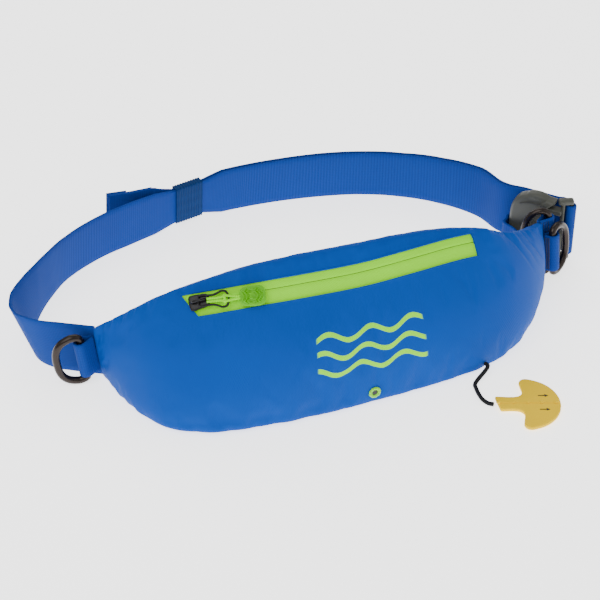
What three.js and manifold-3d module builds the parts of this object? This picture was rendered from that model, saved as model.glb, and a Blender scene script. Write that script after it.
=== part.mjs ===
// An inflatable belt pack: a hollow crescent pouch on a webbing waist belt, laid closed on a table.
// Millimetres, +Z up. The pouch faces -Y, and the belt stands on its lower edge behind it.
import * as THREE from "three";
import { mergeVertices } from "three/addons/utils/BufferGeometryUtils.js";
import Module from "manifold-3d";

const wasm = await Module();
wasm.setup();

// Webbing
const strapWidth = 40;
const strapThickness = 1.8;
const layerGap = 0.5; // between the belt and its tail, which lies on it
const tabWidth = 27;
const tabThickness = 1.5;
const keeperWall = 1.2;
const fit = 0.3; // clearance between pieces that touch
const ringPlay = 0.45; // between a ring's bar and the webbing folded over it

// Pouch
const pouchLength = 312;
const pouchHeight = 95;
const bottomReach = 88; // how far the bottom seam bows out in front of the end seams
const topReach = 43;
const frontPuff = 13;
const backPuff = 17;
const endPuff = 2.2;
const seamHalf = 1.4;
const clothWall = 2;
const cellGap = 1.3;

// The closed loop of the belt on the table
const loopOverhang = 34; // of the left turn past the pouch's end
const loopDepth = 145; // from the pouch's end seams to the back of the belt
const rightLift = 6; // the buckle's half holds the belt off the table
const halfLength = pouchLength / 2;
const loopReach = halfLength + loopOverhang;

// Zip, as distances from the top seam, and places along the pouch
const zipTop = 12;
const zipSplit = 18;
const zipBottom = 27;
const zipClosing = 10.5; // towards the top seam at both ends
const zipStart = 0.262;
const zipSlant = 0.034;
const zipEnd = 0.74;
const tapeThickness = 1.1;
const tapeDepth = 0.5;
const toothGap = 0.4;

// Slider and its puller
const sliderLength = 13;
const sliderWidth = 9.6;
const sliderPlate = 2;
const sliderPlace = 0.297;
const bridgeLength = 7;
const bridgeWidth = 3;
const bridgeHeight = 4.2;
const bridgeRoof = 1.1;
const pullWire = 1.2;
const pullLoopLength = 18.5;
const pullLoopWidth = 10.5;
const pullNeckWidth = 6.8;
const pullCord = 1.7;
const pullTabStart = 25.5;
const pullTabLength = 15.5;
const pullTabWidth = 12.4;
const pullTabThickness = 2.6;
const pullRise = 4.8; // the tab's end above the cloth

// Drain eyelet
const eyeletPlace = 0.538;
const eyeletRise = 0.08;
const eyeletOuter = 4.3;
const eyeletInner = 1.7;
const eyeletThickness = 1;

// D rings
const ringWire = 5;
const ringInside = 30;
const ringDepth = 17;
const wideRingInside = 44;
const wideRingWire = 4.6;
const wideRingDepth = 17;

// Buckle
const buckleWidth = 48;
const buckleThickness = 12;
const buckleStandOff = 16.4; // of its mouth past the pouch's end, and behind it
const buckleBack = 8.4;
const femaleLength = 33;
const cornerRound = 15;
const mouthBow = 20;
const shellWall = 2;
const armThickness = 5;
const windowLength = 17;
const railWidth = 3.4;
const adjusterTurn = 30;
const adjusterLength = 11.3;
const neckFrom = 3;
const neckWidth = 2.4;
const endBarAt = 10;
const endBarWidth = 2.6;
const anchorBar = 3.6;
const anchorSlot = 5;
const anchorLead = 8; // the webbing's slack before it turns round the bar
const anchorWidth = 20;
const anchorDrop = 9.5; // its slot sits low in the shell, behind the pouch
const anchorPlace = 0.945; // where its webbing is sewn to the pouch, along it

// Jerk cord and handle
const cordWidth = 2.8;
const handleLength = 41.5;
const handleHead = 23.5; // radius of the head's round edge
const handleNeck = 12.8;
const handleThickness = 3.4;
const ridgeHeight = 0.7;

const cloth = new THREE.MeshStandardMaterial({ color: 0x0069b4, roughness: 0.55, metalness: 0 });
const webbing = new THREE.MeshStandardMaterial({ color: 0x006bc4, roughness: 0.8, metalness: 0 });
const elastic = new THREE.MeshStandardMaterial({ color: 0x004e82, roughness: 0.85, metalness: 0 });
const lime = new THREE.MeshStandardMaterial({ color: 0x96d71e, roughness: 0.7, metalness: 0 });
const rubber = new THREE.MeshStandardMaterial({ color: 0x73b40f, roughness: 0.5, metalness: 0 });
const blackMetal = new THREE.MeshStandardMaterial({ color: 0x16120f, roughness: 0.35, metalness: 0.8 });
const bronze = new THREE.MeshStandardMaterial({ color: 0x3c342e, roughness: 0.3, metalness: 0.9 });
const plastic = new THREE.MeshStandardMaterial({ color: 0x5f625c, roughness: 0.45, metalness: 0 });
const yellow = new THREE.MeshStandardMaterial({ color: 0xf5cd14, roughness: 0.45, metalness: 0 });
const blackCord = new THREE.MeshStandardMaterial({ color: 0x16160f, roughness: 0.8, metalness: 0 });
const film = new THREE.MeshStandardMaterial({ color: 0xb8bcbe, roughness: 0.5, metalness: 0 });

const pack = new THREE.Group();
const onCord = new Set();

function addMesh(name, geometry, material, parent = pack) {
  const mesh = new THREE.Mesh(geometry, material);
  mesh.name = name;
  parent.add(mesh);
  return mesh;
}

// A closed surface from points and faces, turned to face outwards.
function closedSurface(points, faces) {
  let volume = 0;
  for (const [i, j, k] of faces) volume += points[i].dot(points[j].clone().cross(points[k]));
  const order = volume < 0 ? faces.map(([i, j, k]) => [i, k, j]) : faces;
  const geometry = new THREE.BufferGeometry();
  const flat = points.flatMap((p) => [p.x, p.y, p.z]);
  geometry.setAttribute("position", new THREE.Float32BufferAttribute(flat, 3));
  geometry.setIndex(order.flat());
  return geometry;
}

// Skins a row of rings with the same number of points. A loop joins its last ring to its first.
function loft(rings, loop = false) {
  const count = rings[0].length;
  const points = rings.flat();
  const faces = [];
  const bands = loop ? rings.length : rings.length - 1;
  for (let i = 0; i < bands; i++) {
    for (let j = 0; j < count; j++) {
      const a = i * count + j;
      const b = i * count + ((j + 1) % count);
      const c = ((i + 1) % rings.length) * count + j;
      const d = ((i + 1) % rings.length) * count + ((j + 1) % count);
      faces.push([a, b, d], [a, d, c]);
    }
  }
  if (!loop) {
    for (const [ring, turned] of [[0, true], [rings.length - 1, false]]) {
      const middle = new THREE.Vector3();
      rings[ring].forEach((p) => middle.addScaledVector(p, 1 / count));
      points.push(middle);
      for (let j = 0; j < count; j++) {
        const a = ring * count + j;
        const b = ring * count + ((j + 1) % count);
        faces.push(turned ? [b, a, points.length - 1] : [a, b, points.length - 1]);
      }
    }
  }
  return closedSurface(points, faces);
}

// A round wire along points that lie in one plane.
function planarWire(path, across, width, sides, loop) {
  const rings = path.map((point, i) => {
    const before = path[loop ? (i + path.length - 1) % path.length : Math.max(i - 1, 0)];
    const after = path[loop ? (i + 1) % path.length : Math.min(i + 1, path.length - 1)];
    const outward = after.clone().sub(before).normalize().cross(across);
    return Array.from({ length: sides }, (_, j) => {
      const turn = ((j + 0.5) / sides) * 2 * Math.PI;
      const reach = width / 2;
      return point.clone().addScaledVector(outward, reach * Math.cos(turn))
        .addScaledVector(across, reach * Math.sin(turn));
    });
  });
  return loft(rings, loop);
}

function solidOf(geometry) {
  const bare = new THREE.BufferGeometry();
  const plain = geometry.index ? geometry.toNonIndexed() : geometry;
  bare.setAttribute("position", plain.getAttribute("position"));
  const merged = mergeVertices(bare, 1e-4);
  return new wasm.Manifold(new wasm.Mesh({
    numProp: 3,
    vertProperties: merged.attributes.position.array,
    triVerts: new Uint32Array(merged.index.array),
  }));
}

function geometryOf(solid) {
  const mesh = solid.getMesh();
  const geometry = new THREE.BufferGeometry();
  geometry.setAttribute("position", new THREE.Float32BufferAttribute(mesh.vertProperties, 3));
  geometry.setIndex(Array.from(mesh.triVerts));
  return geometry;
}

function box(x0, x1, y0, y1, z0, z1) {
  return new THREE.BoxGeometry(x1 - x0, y1 - y0, z1 - z0)
    .translate((x0 + x1) / 2, (y0 + y1) / 2, (z0 + z1) / 2);
}

function joined(parts) {
  return parts.map(solidOf).reduce((sum, part) => sum.add(part));
}

// Sections of the pouch from its left end to its right. The bottom and top seams are given as
// shares: along of half the length, out of bottomReach or topReach, and rise of the way from the
// belt's width up to the full height. The lift is a share of rightLift and full of the padding.
const pouchSections = [
  { footAlong: -0.984, footOut: 0, headAlong: -1.01, headOut: -0.02, rise: 0, lift: 0, full: 0 },
  { footAlong: -0.955, footOut: 0.29, headAlong: -0.935, headOut: 0.2, rise: 0.21, lift: 0, full: 0.22 },
  { footAlong: -0.92, footOut: 0.5, headAlong: -0.856, headOut: 0.395, rise: 0.42, lift: 0, full: 0.45 },
  { footAlong: -0.837, footOut: 0.75, headAlong: -0.747, headOut: 0.581, rise: 0.64, lift: 0, full: 0.7 },
  { footAlong: -0.696, footOut: 0.898, headAlong: -0.599, headOut: 0.767, rise: 0.83, lift: 0, full: 0.88 },
  { footAlong: -0.503, footOut: 0.966, headAlong: -0.426, headOut: 0.884, rise: 0.955, lift: 0, full: 0.97 },
  { footAlong: -0.279, footOut: 1, headAlong: -0.221, headOut: 0.953, rise: 1, lift: 0, full: 1 },
  { footAlong: -0.022, footOut: 1, headAlong: -0.003, headOut: 1, rise: 1, lift: 0, full: 1 },
  { footAlong: 0.234, footOut: 0.989, headAlong: 0.202, headOut: 1.02, rise: 0.99, lift: 0, full: 1 },
  { footAlong: 0.458, footOut: 0.943, headAlong: 0.394, headOut: 0.977, rise: 0.905, lift: 0, full: 0.97 },
  { footAlong: 0.619, footOut: 0.841, headAlong: 0.56, headOut: 0.94, rise: 0.765, lift: 0, full: 0.88 },
  { footAlong: 0.747, footOut: 0.67, headAlong: 0.695, headOut: 0.83, rise: 0.54, lift: 0.05, full: 0.7 },
  { footAlong: 0.865, footOut: 0.42, headAlong: 0.835, headOut: 0.53, rise: 0.29, lift: 0.3, full: 0.42 },
  { footAlong: 0.976, footOut: 0.12, headAlong: 0.97, headOut: 0.13, rise: 0, lift: 1.0, full: 0 },
];

const bottomSeam = new THREE.CatmullRomCurve3(pouchSections.map((row) => new THREE.Vector3(
  row.footAlong * halfLength,
  -row.footOut * bottomReach,
  seamHalf * 0.6 + row.lift * rightLift,
)));
const topSeam = new THREE.CatmullRomCurve3(pouchSections.map((row) => new THREE.Vector3(
  row.headAlong * halfLength,
  -row.headOut * topReach,
  strapWidth + row.rise * (pouchHeight - strapWidth) + row.lift * rightLift,
)));
const fullness = new THREE.CatmullRomCurve3(pouchSections.map((row) => new THREE.Vector3(row.full, 0, 0)));

// The frame of the pouch at a place along it: its seams, the way up the face and the way out.
function pouchFrame(place) {
  const bottom = bottomSeam.getPoint(place);
  const top = topSeam.getPoint(place);
  const tangent = bottomSeam.getTangent(place).add(topSeam.getTangent(place)).normalize();
  const up = top.clone().sub(bottom);
  const out = tangent.clone().cross(up).normalize();
  const full = Math.min(Math.max(fullness.getPoint(place).x, 0), 1);
  return { bottom, up, tangent, out, full, height: up.length() };
}

// How far the cloth stands off the line between the seams, in front or behind.
function padding(frame, rise, puff, shape) {
  const round = Math.max(4 * rise * (1 - rise), 0);
  const soft = THREE.MathUtils.lerp(0.3, shape, frame.full);
  return seamHalf + THREE.MathUtils.lerp(endPuff, puff, frame.full) * Math.pow(round, soft);
}

function facePoint(place, rise, off = 0) {
  const frame = pouchFrame(place);
  const stand = padding(frame, rise, frontPuff, 0.8) + off;
  return frame.bottom.clone().addScaledVector(frame.up, rise).addScaledVector(frame.out, stand);
}

function backPoint(place, rise, off = 0) {
  const frame = pouchFrame(place);
  const stand = padding(frame, rise, backPuff, 0.6) + off;
  return frame.bottom.clone().addScaledVector(frame.up, rise).addScaledVector(frame.out, -stand);
}

// The way out of the front cloth, along it to the right and up it.
function faceAxes(place, rise) {
  const step = 0.004;
  const right = facePoint(place + step, rise).sub(facePoint(place - step, rise)).normalize();
  const rough = facePoint(place, rise + step).sub(facePoint(place, rise - step));
  const out = right.clone().cross(rough).normalize();
  return { right, up: out.clone().cross(right), out };
}

function pouchRing(place, sink, edge, count) {
  const frame = pouchFrame(place);
  const margin = edge / frame.height;
  const ring = [];
  for (let i = 0; i <= count; i++) {
    ring.push(facePoint(place, THREE.MathUtils.lerp(margin, 1 - margin, i / count), -sink));
  }
  for (let i = count; i >= 0; i--) {
    ring.push(backPoint(place, THREE.MathUtils.lerp(margin, 1 - margin, i / count), -sink));
  }
  return ring;
}

function pouchBody(sink, edge, inset, stations, count) {
  const rings = [];
  for (let i = 0; i <= stations; i++) {
    const place = THREE.MathUtils.lerp(inset, 1 - inset, i / stations);
    rings.push(pouchRing(place, sink, edge, count));
  }
  return loft(rings);
}

// The zip's edges as heights up the face, which close towards the top seam at both ends.
function zipRise(place, fromTop) {
  const middle = Math.sin(Math.PI * THREE.MathUtils.clamp((place - 0.2) / 0.58, 0, 1));
  return 1 - (fromTop - zipClosing * (1 - middle)) / pouchFrame(place).height;
}

// A strip of the front cloth between two distances from the top seam.
function zipStrip(fromTop, toTop, outer, inner, trim, stations) {
  const share = (distance) => (distance - zipTop) / (zipBottom - zipTop);
  const rings = [];
  for (let i = 0; i <= stations; i++) {
    const at = (distance) => {
      const start = zipStart + zipSlant * share(distance) + trim;
      return THREE.MathUtils.lerp(start, zipEnd - trim, i / stations);
    };
    const low = at(toTop);
    const high = at(fromTop);
    rings.push([
      facePoint(low, zipRise(low, toTop), outer),
      facePoint(high, zipRise(high, fromTop), outer),
      facePoint(high, zipRise(high, fromTop), inner),
      facePoint(low, zipRise(low, toTop), inner),
    ]);
  }
  return loft(rings);
}

function makePouch() {
  const edge = 3.5;
  const shell = solidOf(pouchBody(0, 0, 0, 40, 10))
    .subtract(solidOf(pouchBody(clothWall, edge, 0.022, 32, 8)))
    .subtract(solidOf(zipStrip(zipTop, zipBottom, 4, -clothWall - 1.4, 0, 24)));
  addMesh("pouch_cover", geometryOf(shell), cloth);
  addMesh("packed_air_cell", pouchBody(clothWall + cellGap, edge + 2, 0.045, 18, 5), film);
}

function makeZip() {
  const outer = -tapeDepth;
  const inner = -tapeDepth - tapeThickness;
  const endTrim = 0.0016;
  addMesh("zip_tape_upper",
    zipStrip(zipTop + fit, zipSplit - toothGap / 2, outer, inner, endTrim, 22), lime);
  addMesh("zip_tape_lower",
    zipStrip(zipSplit + toothGap / 2, zipBottom - fit, outer, inner, endTrim, 22), lime);
}

// A group on the front cloth whose x runs along it, y up it and z out of it.
function onFace(place, rise, off) {
  const { right, up, out } = faceAxes(place, rise);
  const group = new THREE.Group();
  group.position.copy(facePoint(place, rise, off));
  group.quaternion.setFromRotationMatrix(new THREE.Matrix4().makeBasis(right, up, out));
  pack.add(group);
  return group;
}

function makeSlider() {
  const rise = zipRise(sliderPlace, zipSplit);
  const seat = onFace(sliderPlace, rise, fit);
  const half = sliderLength / 2;
  const wide = sliderWidth / 2;
  const outline = new THREE.Shape();
  outline.moveTo(-half, -wide * 0.45);
  outline.quadraticCurveTo(-half * 0.9, -wide, -half * 0.2, -wide);
  outline.quadraticCurveTo(half * 0.5, -wide, half, -wide * 0.55);
  outline.lineTo(half, wide * 0.55);
  outline.quadraticCurveTo(half * 0.5, wide, -half * 0.2, wide);
  outline.quadraticCurveTo(-half * 0.9, wide, -half, wide * 0.45);
  outline.closePath();
  const plateSize = { depth: sliderPlate, bevelEnabled: false, curveSegments: 5 };
  const plate = new THREE.ExtrudeGeometry(outline, plateSize);
  const leg = (bridgeLength - pullWire - 2 * fit) / 2 - 0.2;
  const long = bridgeLength / 2;
  const side = bridgeWidth / 2;
  const roof = sliderPlate + bridgeHeight;
  const body = joined([
    plate,
    box(-long, -long + leg, -side, side, sliderPlate - 0.2, roof - 0.2),
    box(long - leg, long, -side, side, sliderPlate - 0.2, roof - 0.2),
    box(-long, long, -side, side, roof - bridgeRoof, roof),
  ]);
  addMesh("zip_slider", geometryOf(body), blackMetal, seat);

  // The puller hangs in the bridge's eye and points along the zip, with its end on the cloth.
  const eye = new THREE.Vector3(0, 0, sliderPlate + (bridgeHeight - bridgeRoof) / 2);
  seat.updateMatrixWorld(true);
  const reach = pullTabStart + pullTabLength;
  const eyeInPack = eye.clone().applyMatrix4(seat.matrix);
  const step = sliderPlace + reach / (pouchLength * 1.12);
  const end = facePoint(step, zipRise(step, zipSplit + 2), pullRise);
  const along = end.clone().sub(eyeInPack).normalize();
  const out = faceAxes(sliderPlace, rise).out;
  const up = out.clone().cross(along).normalize();
  const puller = new THREE.Group();
  puller.name = "puller_frame";
  puller.position.copy(eyeInPack);
  const axes = new THREE.Matrix4().makeBasis(along, up, along.clone().cross(up));
  puller.quaternion.setFromRotationMatrix(axes);
  pack.add(puller);

  const across = new THREE.Vector3(0, 0, 1);
  const neck = pullNeckWidth / 2;
  const head = pullLoopWidth / 2;
  const half2 = [
    [0, neck * 0.55], [0.7, neck * 0.95], [sliderLength * 0.55, neck], [pullLoopLength * 0.6, neck * 1.05],
    [pullLoopLength * 0.76, head], [pullLoopLength * 0.93, head * 0.8], [pullLoopLength, head * 0.35],
  ];
  const loopPath = [...half2, ...half2.slice().reverse().map(([x, y]) => [x, -y])]
    .map(([x, y]) => new THREE.Vector3(x, y, 0));
  addMesh("zip_puller_loop", planarWire(loopPath, across, pullWire, 6, true), blackMetal, puller);

  // A doubled cord round the loop's end, moulded into a flat grip.
  const turn = pullWire / 2 + fit + pullCord / 2;
  const cordPath = [];
  for (let i = 0; i <= 6; i++) {
    const angle = Math.PI / 2 + (i / 6) * Math.PI;
    cordPath.push(new THREE.Vector3(pullLoopLength + turn * Math.cos(angle), 0, turn * Math.sin(angle)));
  }
  const inTab = pullTabStart + 1;
  cordPath.unshift(new THREE.Vector3(inTab, 0, pullTabThickness / 4));
  cordPath.push(new THREE.Vector3(inTab, 0, -pullTabThickness / 4));
  const cord = planarWire(cordPath, new THREE.Vector3(0, 1, 0), pullCord, 6, false);
  const grip = new THREE.Shape();
  const left = pullTabStart;
  const right = pullTabStart + pullTabLength;
  const wideTab = pullTabWidth / 2;
  grip.moveTo(left, -wideTab * 0.78);
  grip.quadraticCurveTo(left + pullTabLength * 0.4, -wideTab * 1.12, right - 3, -wideTab * 0.95);
  grip.quadraticCurveTo(right, -wideTab * 0.6, right, 0);
  grip.quadraticCurveTo(right, wideTab * 0.6, right - 3, wideTab * 0.95);
  grip.quadraticCurveTo(left + pullTabLength * 0.4, wideTab * 1.12, left, wideTab * 0.78);
  grip.closePath();
  const tabSize = { depth: pullTabThickness, bevelEnabled: false, curveSegments: 4 };
  const tab = new THREE.ExtrudeGeometry(grip, tabSize).translate(0, 0, -pullTabThickness / 2);
  addMesh("zip_pull_tab", geometryOf(joined([cord, tab])), rubber, puller);
}

function makeEyelet() {
  const seat = onFace(eyeletPlace, eyeletRise, fit);
  const half = (eyeletOuter - eyeletInner) / 2;
  const middle = eyeletInner + half;
  const section = [[-1, 0], [-0.6, 0.9], [0.3, 1], [1, 0.3], [1, 0], [-1, 0]]
    .map(([x, y]) => new THREE.Vector2(middle + x * half, y * eyeletThickness));
  const ring = new THREE.LatheGeometry(section.reverse(), 20).rotateX(Math.PI / 2);
  addMesh("drain_eyelet", geometryOf(solidOf(ring)), lime, seat);
}

// A band of webbing on edge. A row places its lower edge, with the top's lean, its lift, its
// width and how far its faces stand to the left and right of the line.
function ribbon(rows, stepsPerRow) {
  const feet = rows.map((row) => new THREE.Vector3(row.x, row.y, 0));
  const line = new THREE.CatmullRomCurve3(feet, false, "centripetal");
  const spans = rows.length - 1;
  const rings = [];
  for (let i = 0; i <= spans * stepsPerRow; i++) {
    const place = i / (spans * stepsPerRow);
    const at = Math.min(Math.floor(place * spans), spans - 1);
    const blend = place * spans - at;
    const value = (key) => THREE.MathUtils.lerp(rows[at][key], rows[at + 1][key], blend);
    const foot = line.getPoint(place);
    const tangent = line.getTangent(place);
    const left = new THREE.Vector3(-tangent.y, tangent.x, 0);
    const width = value("width");
    const lean = new THREE.Vector3(value("leanX"), value("leanY"), 0);
    const head = foot.clone().add(lean);
    foot.z = value("lift");
    head.z = foot.z + Math.sqrt(Math.max(width * width - lean.lengthSq(), 1));
    rings.push([
      foot.clone().addScaledVector(left, value("near")),
      head.clone().addScaledVector(left, value("near")),
      head.clone().addScaledVector(left, -value("far")),
      foot.clone().addScaledVector(left, -value("far")),
    ]);
  }
  return loft(rings);
}

// The buckle's own plan: along runs out of the female half's mouth, off to its outer side.
const buckleMouth = new THREE.Vector2(halfLength + buckleStandOff, buckleBack);
const buckleAngle = -47.6;
const buckleTurn = THREE.MathUtils.degToRad(buckleAngle);
const alongBuckle = new THREE.Vector2(Math.cos(buckleTurn), Math.sin(buckleTurn));
const offBuckle = new THREE.Vector2(-alongBuckle.y, alongBuckle.x);

function inBuckle(along, off) {
  return buckleMouth.clone().addScaledVector(alongBuckle, along).addScaledVector(offBuckle, off);
}

function inAdjuster(along, off) {
  const turn = THREE.MathUtils.degToRad(adjusterTurn);
  return inBuckle(
    along * Math.cos(turn) - off * Math.sin(turn),
    along * Math.sin(turn) + off * Math.cos(turn),
  );
}

// The belt's lower edge from the pouch round the back to the buckle: x of loopReach, y of
// loopDepth, the lean of its top edge and its lift in shares of its width, and its own width.
const beltRows = [
  { x: -0.865, y: 0.049, leanX: -0.1, leanY: 0.02, lift: 0, width: 1 },
  { x: -0.911, y: 0.086, leanX: -0.12, leanY: 0.03, lift: 0, width: 1 },
  { x: -0.958, y: 0.13, leanX: -0.2, leanY: 0.07, lift: 0, width: 1 },
  { x: -0.992, y: 0.19, leanX: -0.29, leanY: 0.15, lift: 0, width: 1 },
  { x: -1.002, y: 0.255, leanX: -0.3, leanY: 0.2, lift: 0, width: 1 },
  { x: -0.995, y: 0.345, leanX: -0.24, leanY: 0.15, lift: 0, width: 1 },
  { x: -0.968, y: 0.441, leanX: -0.13, leanY: 0.07, lift: 0, width: 1 },
  { x: -0.926, y: 0.538, leanX: -0.03, leanY: 0.0, lift: 0, width: 1 },
  { x: -0.874, y: 0.628, leanX: 0.02, leanY: -0.05, lift: 0, width: 1 },
  { x: -0.79, y: 0.741, leanX: 0.04, leanY: -0.12, lift: 0, width: 1 },
  { x: -0.642, y: 0.848, leanX: 0.03, leanY: -0.14, lift: 0, width: 1 },
  { x: -0.52, y: 0.898, leanX: 0.02, leanY: -0.14, lift: 0, width: 1 },
  { x: -0.41, y: 0.934, leanX: 0.01, leanY: -0.13, lift: 0.02, width: 0.95 },
  { x: -0.33, y: 0.958, leanX: 0.0, leanY: -0.1, lift: 0.1, width: 0.77 },
  { x: -0.268, y: 0.975, leanX: 0.0, leanY: -0.1, lift: 0.12, width: 0.75 },
  { x: -0.205, y: 0.99, leanX: 0.0, leanY: -0.12, lift: 0.11, width: 0.77 },
  { x: -0.13, y: 1.001, leanX: 0.0, leanY: -0.16, lift: 0.01, width: 0.98 },
  { x: -0.04, y: 1.003, leanX: 0.0, leanY: -0.17, lift: 0, width: 1 },
  { x: 0.105, y: 0.988, leanX: 0.0, leanY: -0.16, lift: 0, width: 1 },
  { x: 0.263, y: 0.952, leanX: -0.03, leanY: -0.14, lift: 0, width: 1 },
  { x: 0.41, y: 0.897, leanX: -0.04, leanY: -0.14, lift: 0, width: 1 },
  { x: 0.547, y: 0.807, leanX: -0.05, leanY: -0.12, lift: 0, width: 1 },
  { x: 0.668, y: 0.669, leanX: -0.05, leanY: -0.06, lift: 0.03, width: 1 },
  { x: 0.757, y: 0.483, leanX: 0.0, leanY: 0.0, lift: 0.09, width: 1 },
];
const keeperFrom = 13; // the rows of the belt that the keeper pinches
const keeperTo = 15;

// The tail's loose end: how far it stands off the belt, and its layers where it is hemmed.
const tailRows = [
  { row: 12, off: 2.2, layers: 1 },
  { row: 11.9, off: 3.4, layers: 2 },
  { row: 11.2, off: 8.2, layers: 2 },
  { row: 11.1, off: 9, layers: 3 },
  { row: 10.5, off: 15.5, layers: 3 },
];

function webbingRow(point, extra) {
  const half = strapThickness / 2;
  const upright = { leanX: 0, leanY: 0, lift: rightLift, width: strapWidth, near: half, far: half };
  return { x: point.x, y: point.y, ...upright, ...extra };
}

function beltRow(index) {
  const at = Math.min(Math.floor(index), beltRows.length - 2);
  const value = (key) => THREE.MathUtils.lerp(beltRows[at][key], beltRows[at + 1][key], index - at);
  return webbingRow(new THREE.Vector2(value("x") * loopReach, value("y") * loopDepth), {
    leanX: value("leanX") * strapWidth,
    leanY: value("leanY") * strapWidth,
    lift: value("lift") * strapWidth,
    width: value("width") * strapWidth,
  });
}

// The way out of the loop at a row of the belt.
function beltOutward(index) {
  const step = 0.5;
  const before = beltRow(Math.max(index - step, 0));
  const after = beltRow(Math.min(index + step, beltRows.length - 1));
  return new THREE.Vector2(before.y - after.y, after.x - before.x).normalize();
}

function movedOut(index, distance, extra = {}) {
  const row = beltRow(index);
  const out = beltOutward(index);
  return { ...row, x: row.x + out.x * distance, y: row.y + out.y * distance, ...extra };
}

const pitch = strapThickness + layerGap;
const wrapRadius = endBarWidth / 2 + ringPlay + strapThickness / 2;
const strapOff = buckleThickness / 2 + strapThickness / 2 + 3 * fit;
const strapLead = 0.27 * femaleLength; // the belt before it reaches the shell
const firstPouchRing = pouchFrame(0);

function makeBelt() {
  const end = firstPouchRing.bottom.clone().addScaledVector(firstPouchRing.tangent, -fit - 0.9);
  const slope = firstPouchRing.up.clone();
  const rows = [webbingRow(end, { leanX: slope.x, leanY: slope.y, lift: 0 })];
  for (let i = 0; i < beltRows.length; i++) rows.push(beltRow(i));
  rows.push(webbingRow(inBuckle(-femaleLength - strapLead, strapOff - 2 * fit)));
  const shares = [-0.82, -0.5, -0.06];
  for (const share of shares) rows.push(webbingRow(inBuckle(share * femaleLength, strapOff)));
  rows.push(webbingRow(inAdjuster(neckFrom + neckWidth + 0.8, 3.8)));
  // Round the end bar, from in front of it to behind it.
  for (const angle of [190, 230, 270, 310, 350, 30, 65]) {
    const turn = THREE.MathUtils.degToRad(angle);
    rows.push(webbingRow(inAdjuster(endBarAt + wrapRadius * Math.cos(turn), wrapRadius * Math.sin(turn))));
  }
  const outerOff = strapOff + pitch;
  rows.push(webbingRow(inAdjuster(endBarAt - 3, outerOff - 1.4)));
  for (const share of shares.slice().reverse()) {
    rows.push(webbingRow(inBuckle(share * femaleLength, outerOff)));
  }
  rows.push(webbingRow(inBuckle(-femaleLength - strapLead, outerOff - 2 * fit)));
  for (let i = beltRows.length - 1; i > 12; i--) rows.push(movedOut(i, pitch));
  for (const { row, off, layers } of tailRows) {
    const far = strapThickness * (layers - 0.5);
    rows.push(movedOut(row, pitch + off, { far, width: strapWidth, lift: 0 }));
  }
  addMesh("waist_strap", ribbon(rows, 2), webbing);
}

function makeKeeper() {
  const rows = (side, clear, stretch) => {
    const list = [];
    for (let i = 0; i <= 4; i++) {
      const index = THREE.MathUtils.lerp(keeperFrom + 0.15 - stretch, keeperTo - 0.15 + stretch, i / 4);
      const row = movedOut(index, pitch / 2);
      const half = pitch / 2 + strapThickness / 2 + clear;
      list.push({ ...row, lift: row.lift - side, width: row.width + 2 * side, near: half, far: half });
    }
    return ribbon(list, 2);
  };
  const band = solidOf(rows(fit + keeperWall, fit + keeperWall, 0)).subtract(solidOf(rows(fit, fit, 0.3)));
  addMesh("strap_keeper", geometryOf(band), elastic);
}

// A folded tab in its own frame: x out of the pouch, y across and z up. The bar is at barAt.
function foldedTab(barAt, wire, width, rise) {
  const radius = wire / 2 + ringPlay + tabThickness / 2;
  const root = tabThickness / 2 + 0.2;
  const half = tabThickness / 2;
  const rows = [];
  const place = (x, y) => rows.push({ x, y, leanX: 0, leanY: 0, lift: rise, width, near: half, far: half });
  place(0, root);
  place(barAt * 0.45, (root + radius) / 2);
  for (let i = 0; i <= 8; i++) {
    const turn = THREE.MathUtils.degToRad(110 - i * 27.5);
    place(barAt + radius * Math.cos(turn), radius * Math.sin(turn));
  }
  place(barAt * 0.45, -(root + radius) / 2);
  place(0, -root);
  return ribbon(rows, 1);
}

// A D-shaped ring in the plane of x and z, its straight bar on the z axis.
function dRing(inside, depth, wire) {
  const half = (inside + wire) / 2;
  const path = [];
  for (const share of [-0.9, -0.3, 0.3, 0.9]) path.push(new THREE.Vector3(0, 0, share * half));
  const bend = 2 / 2.7;
  for (let i = 0; i <= 18; i++) {
    const turn = THREE.MathUtils.degToRad(80 - (i / 18) * 160);
    path.push(new THREE.Vector3(
      depth * Math.pow(Math.cos(turn), bend),
      0,
      half * Math.sign(Math.sin(turn)) * Math.pow(Math.abs(Math.sin(turn)), bend),
    ));
  }
  return planarWire(path, new THREE.Vector3(0, 1, 0), wire, 7, true);
}

// A tab and its ring at an end of the pouch, upright along its end seam. The yaw points the tab
// over the table, and the swing is how far the ring has turned from straight out.
function makeRing(names, spot, end, size) {
  const yaw = THREE.MathUtils.degToRad(size.yaw);
  const up = end.up.clone().normalize();
  const side = up.clone().cross(new THREE.Vector3(Math.cos(yaw), Math.sin(yaw), 0)).normalize();
  const frame = new THREE.Group();
  frame.position.copy(spot);
  frame.quaternion.setFromRotationMatrix(new THREE.Matrix4().makeBasis(side.clone().cross(up), side, up));
  pack.add(frame);
  addMesh(names.tab, foldedTab(size.barAt, size.wire, size.width, size.rise), webbing, frame);
  const ring = addMesh(names.ring, dRing(size.inside, size.depth, size.wire), bronze, frame);
  ring.position.set(size.barAt, 0, size.rise + size.width / 2);
  ring.rotation.z = THREE.MathUtils.degToRad(size.swing);
}

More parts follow.
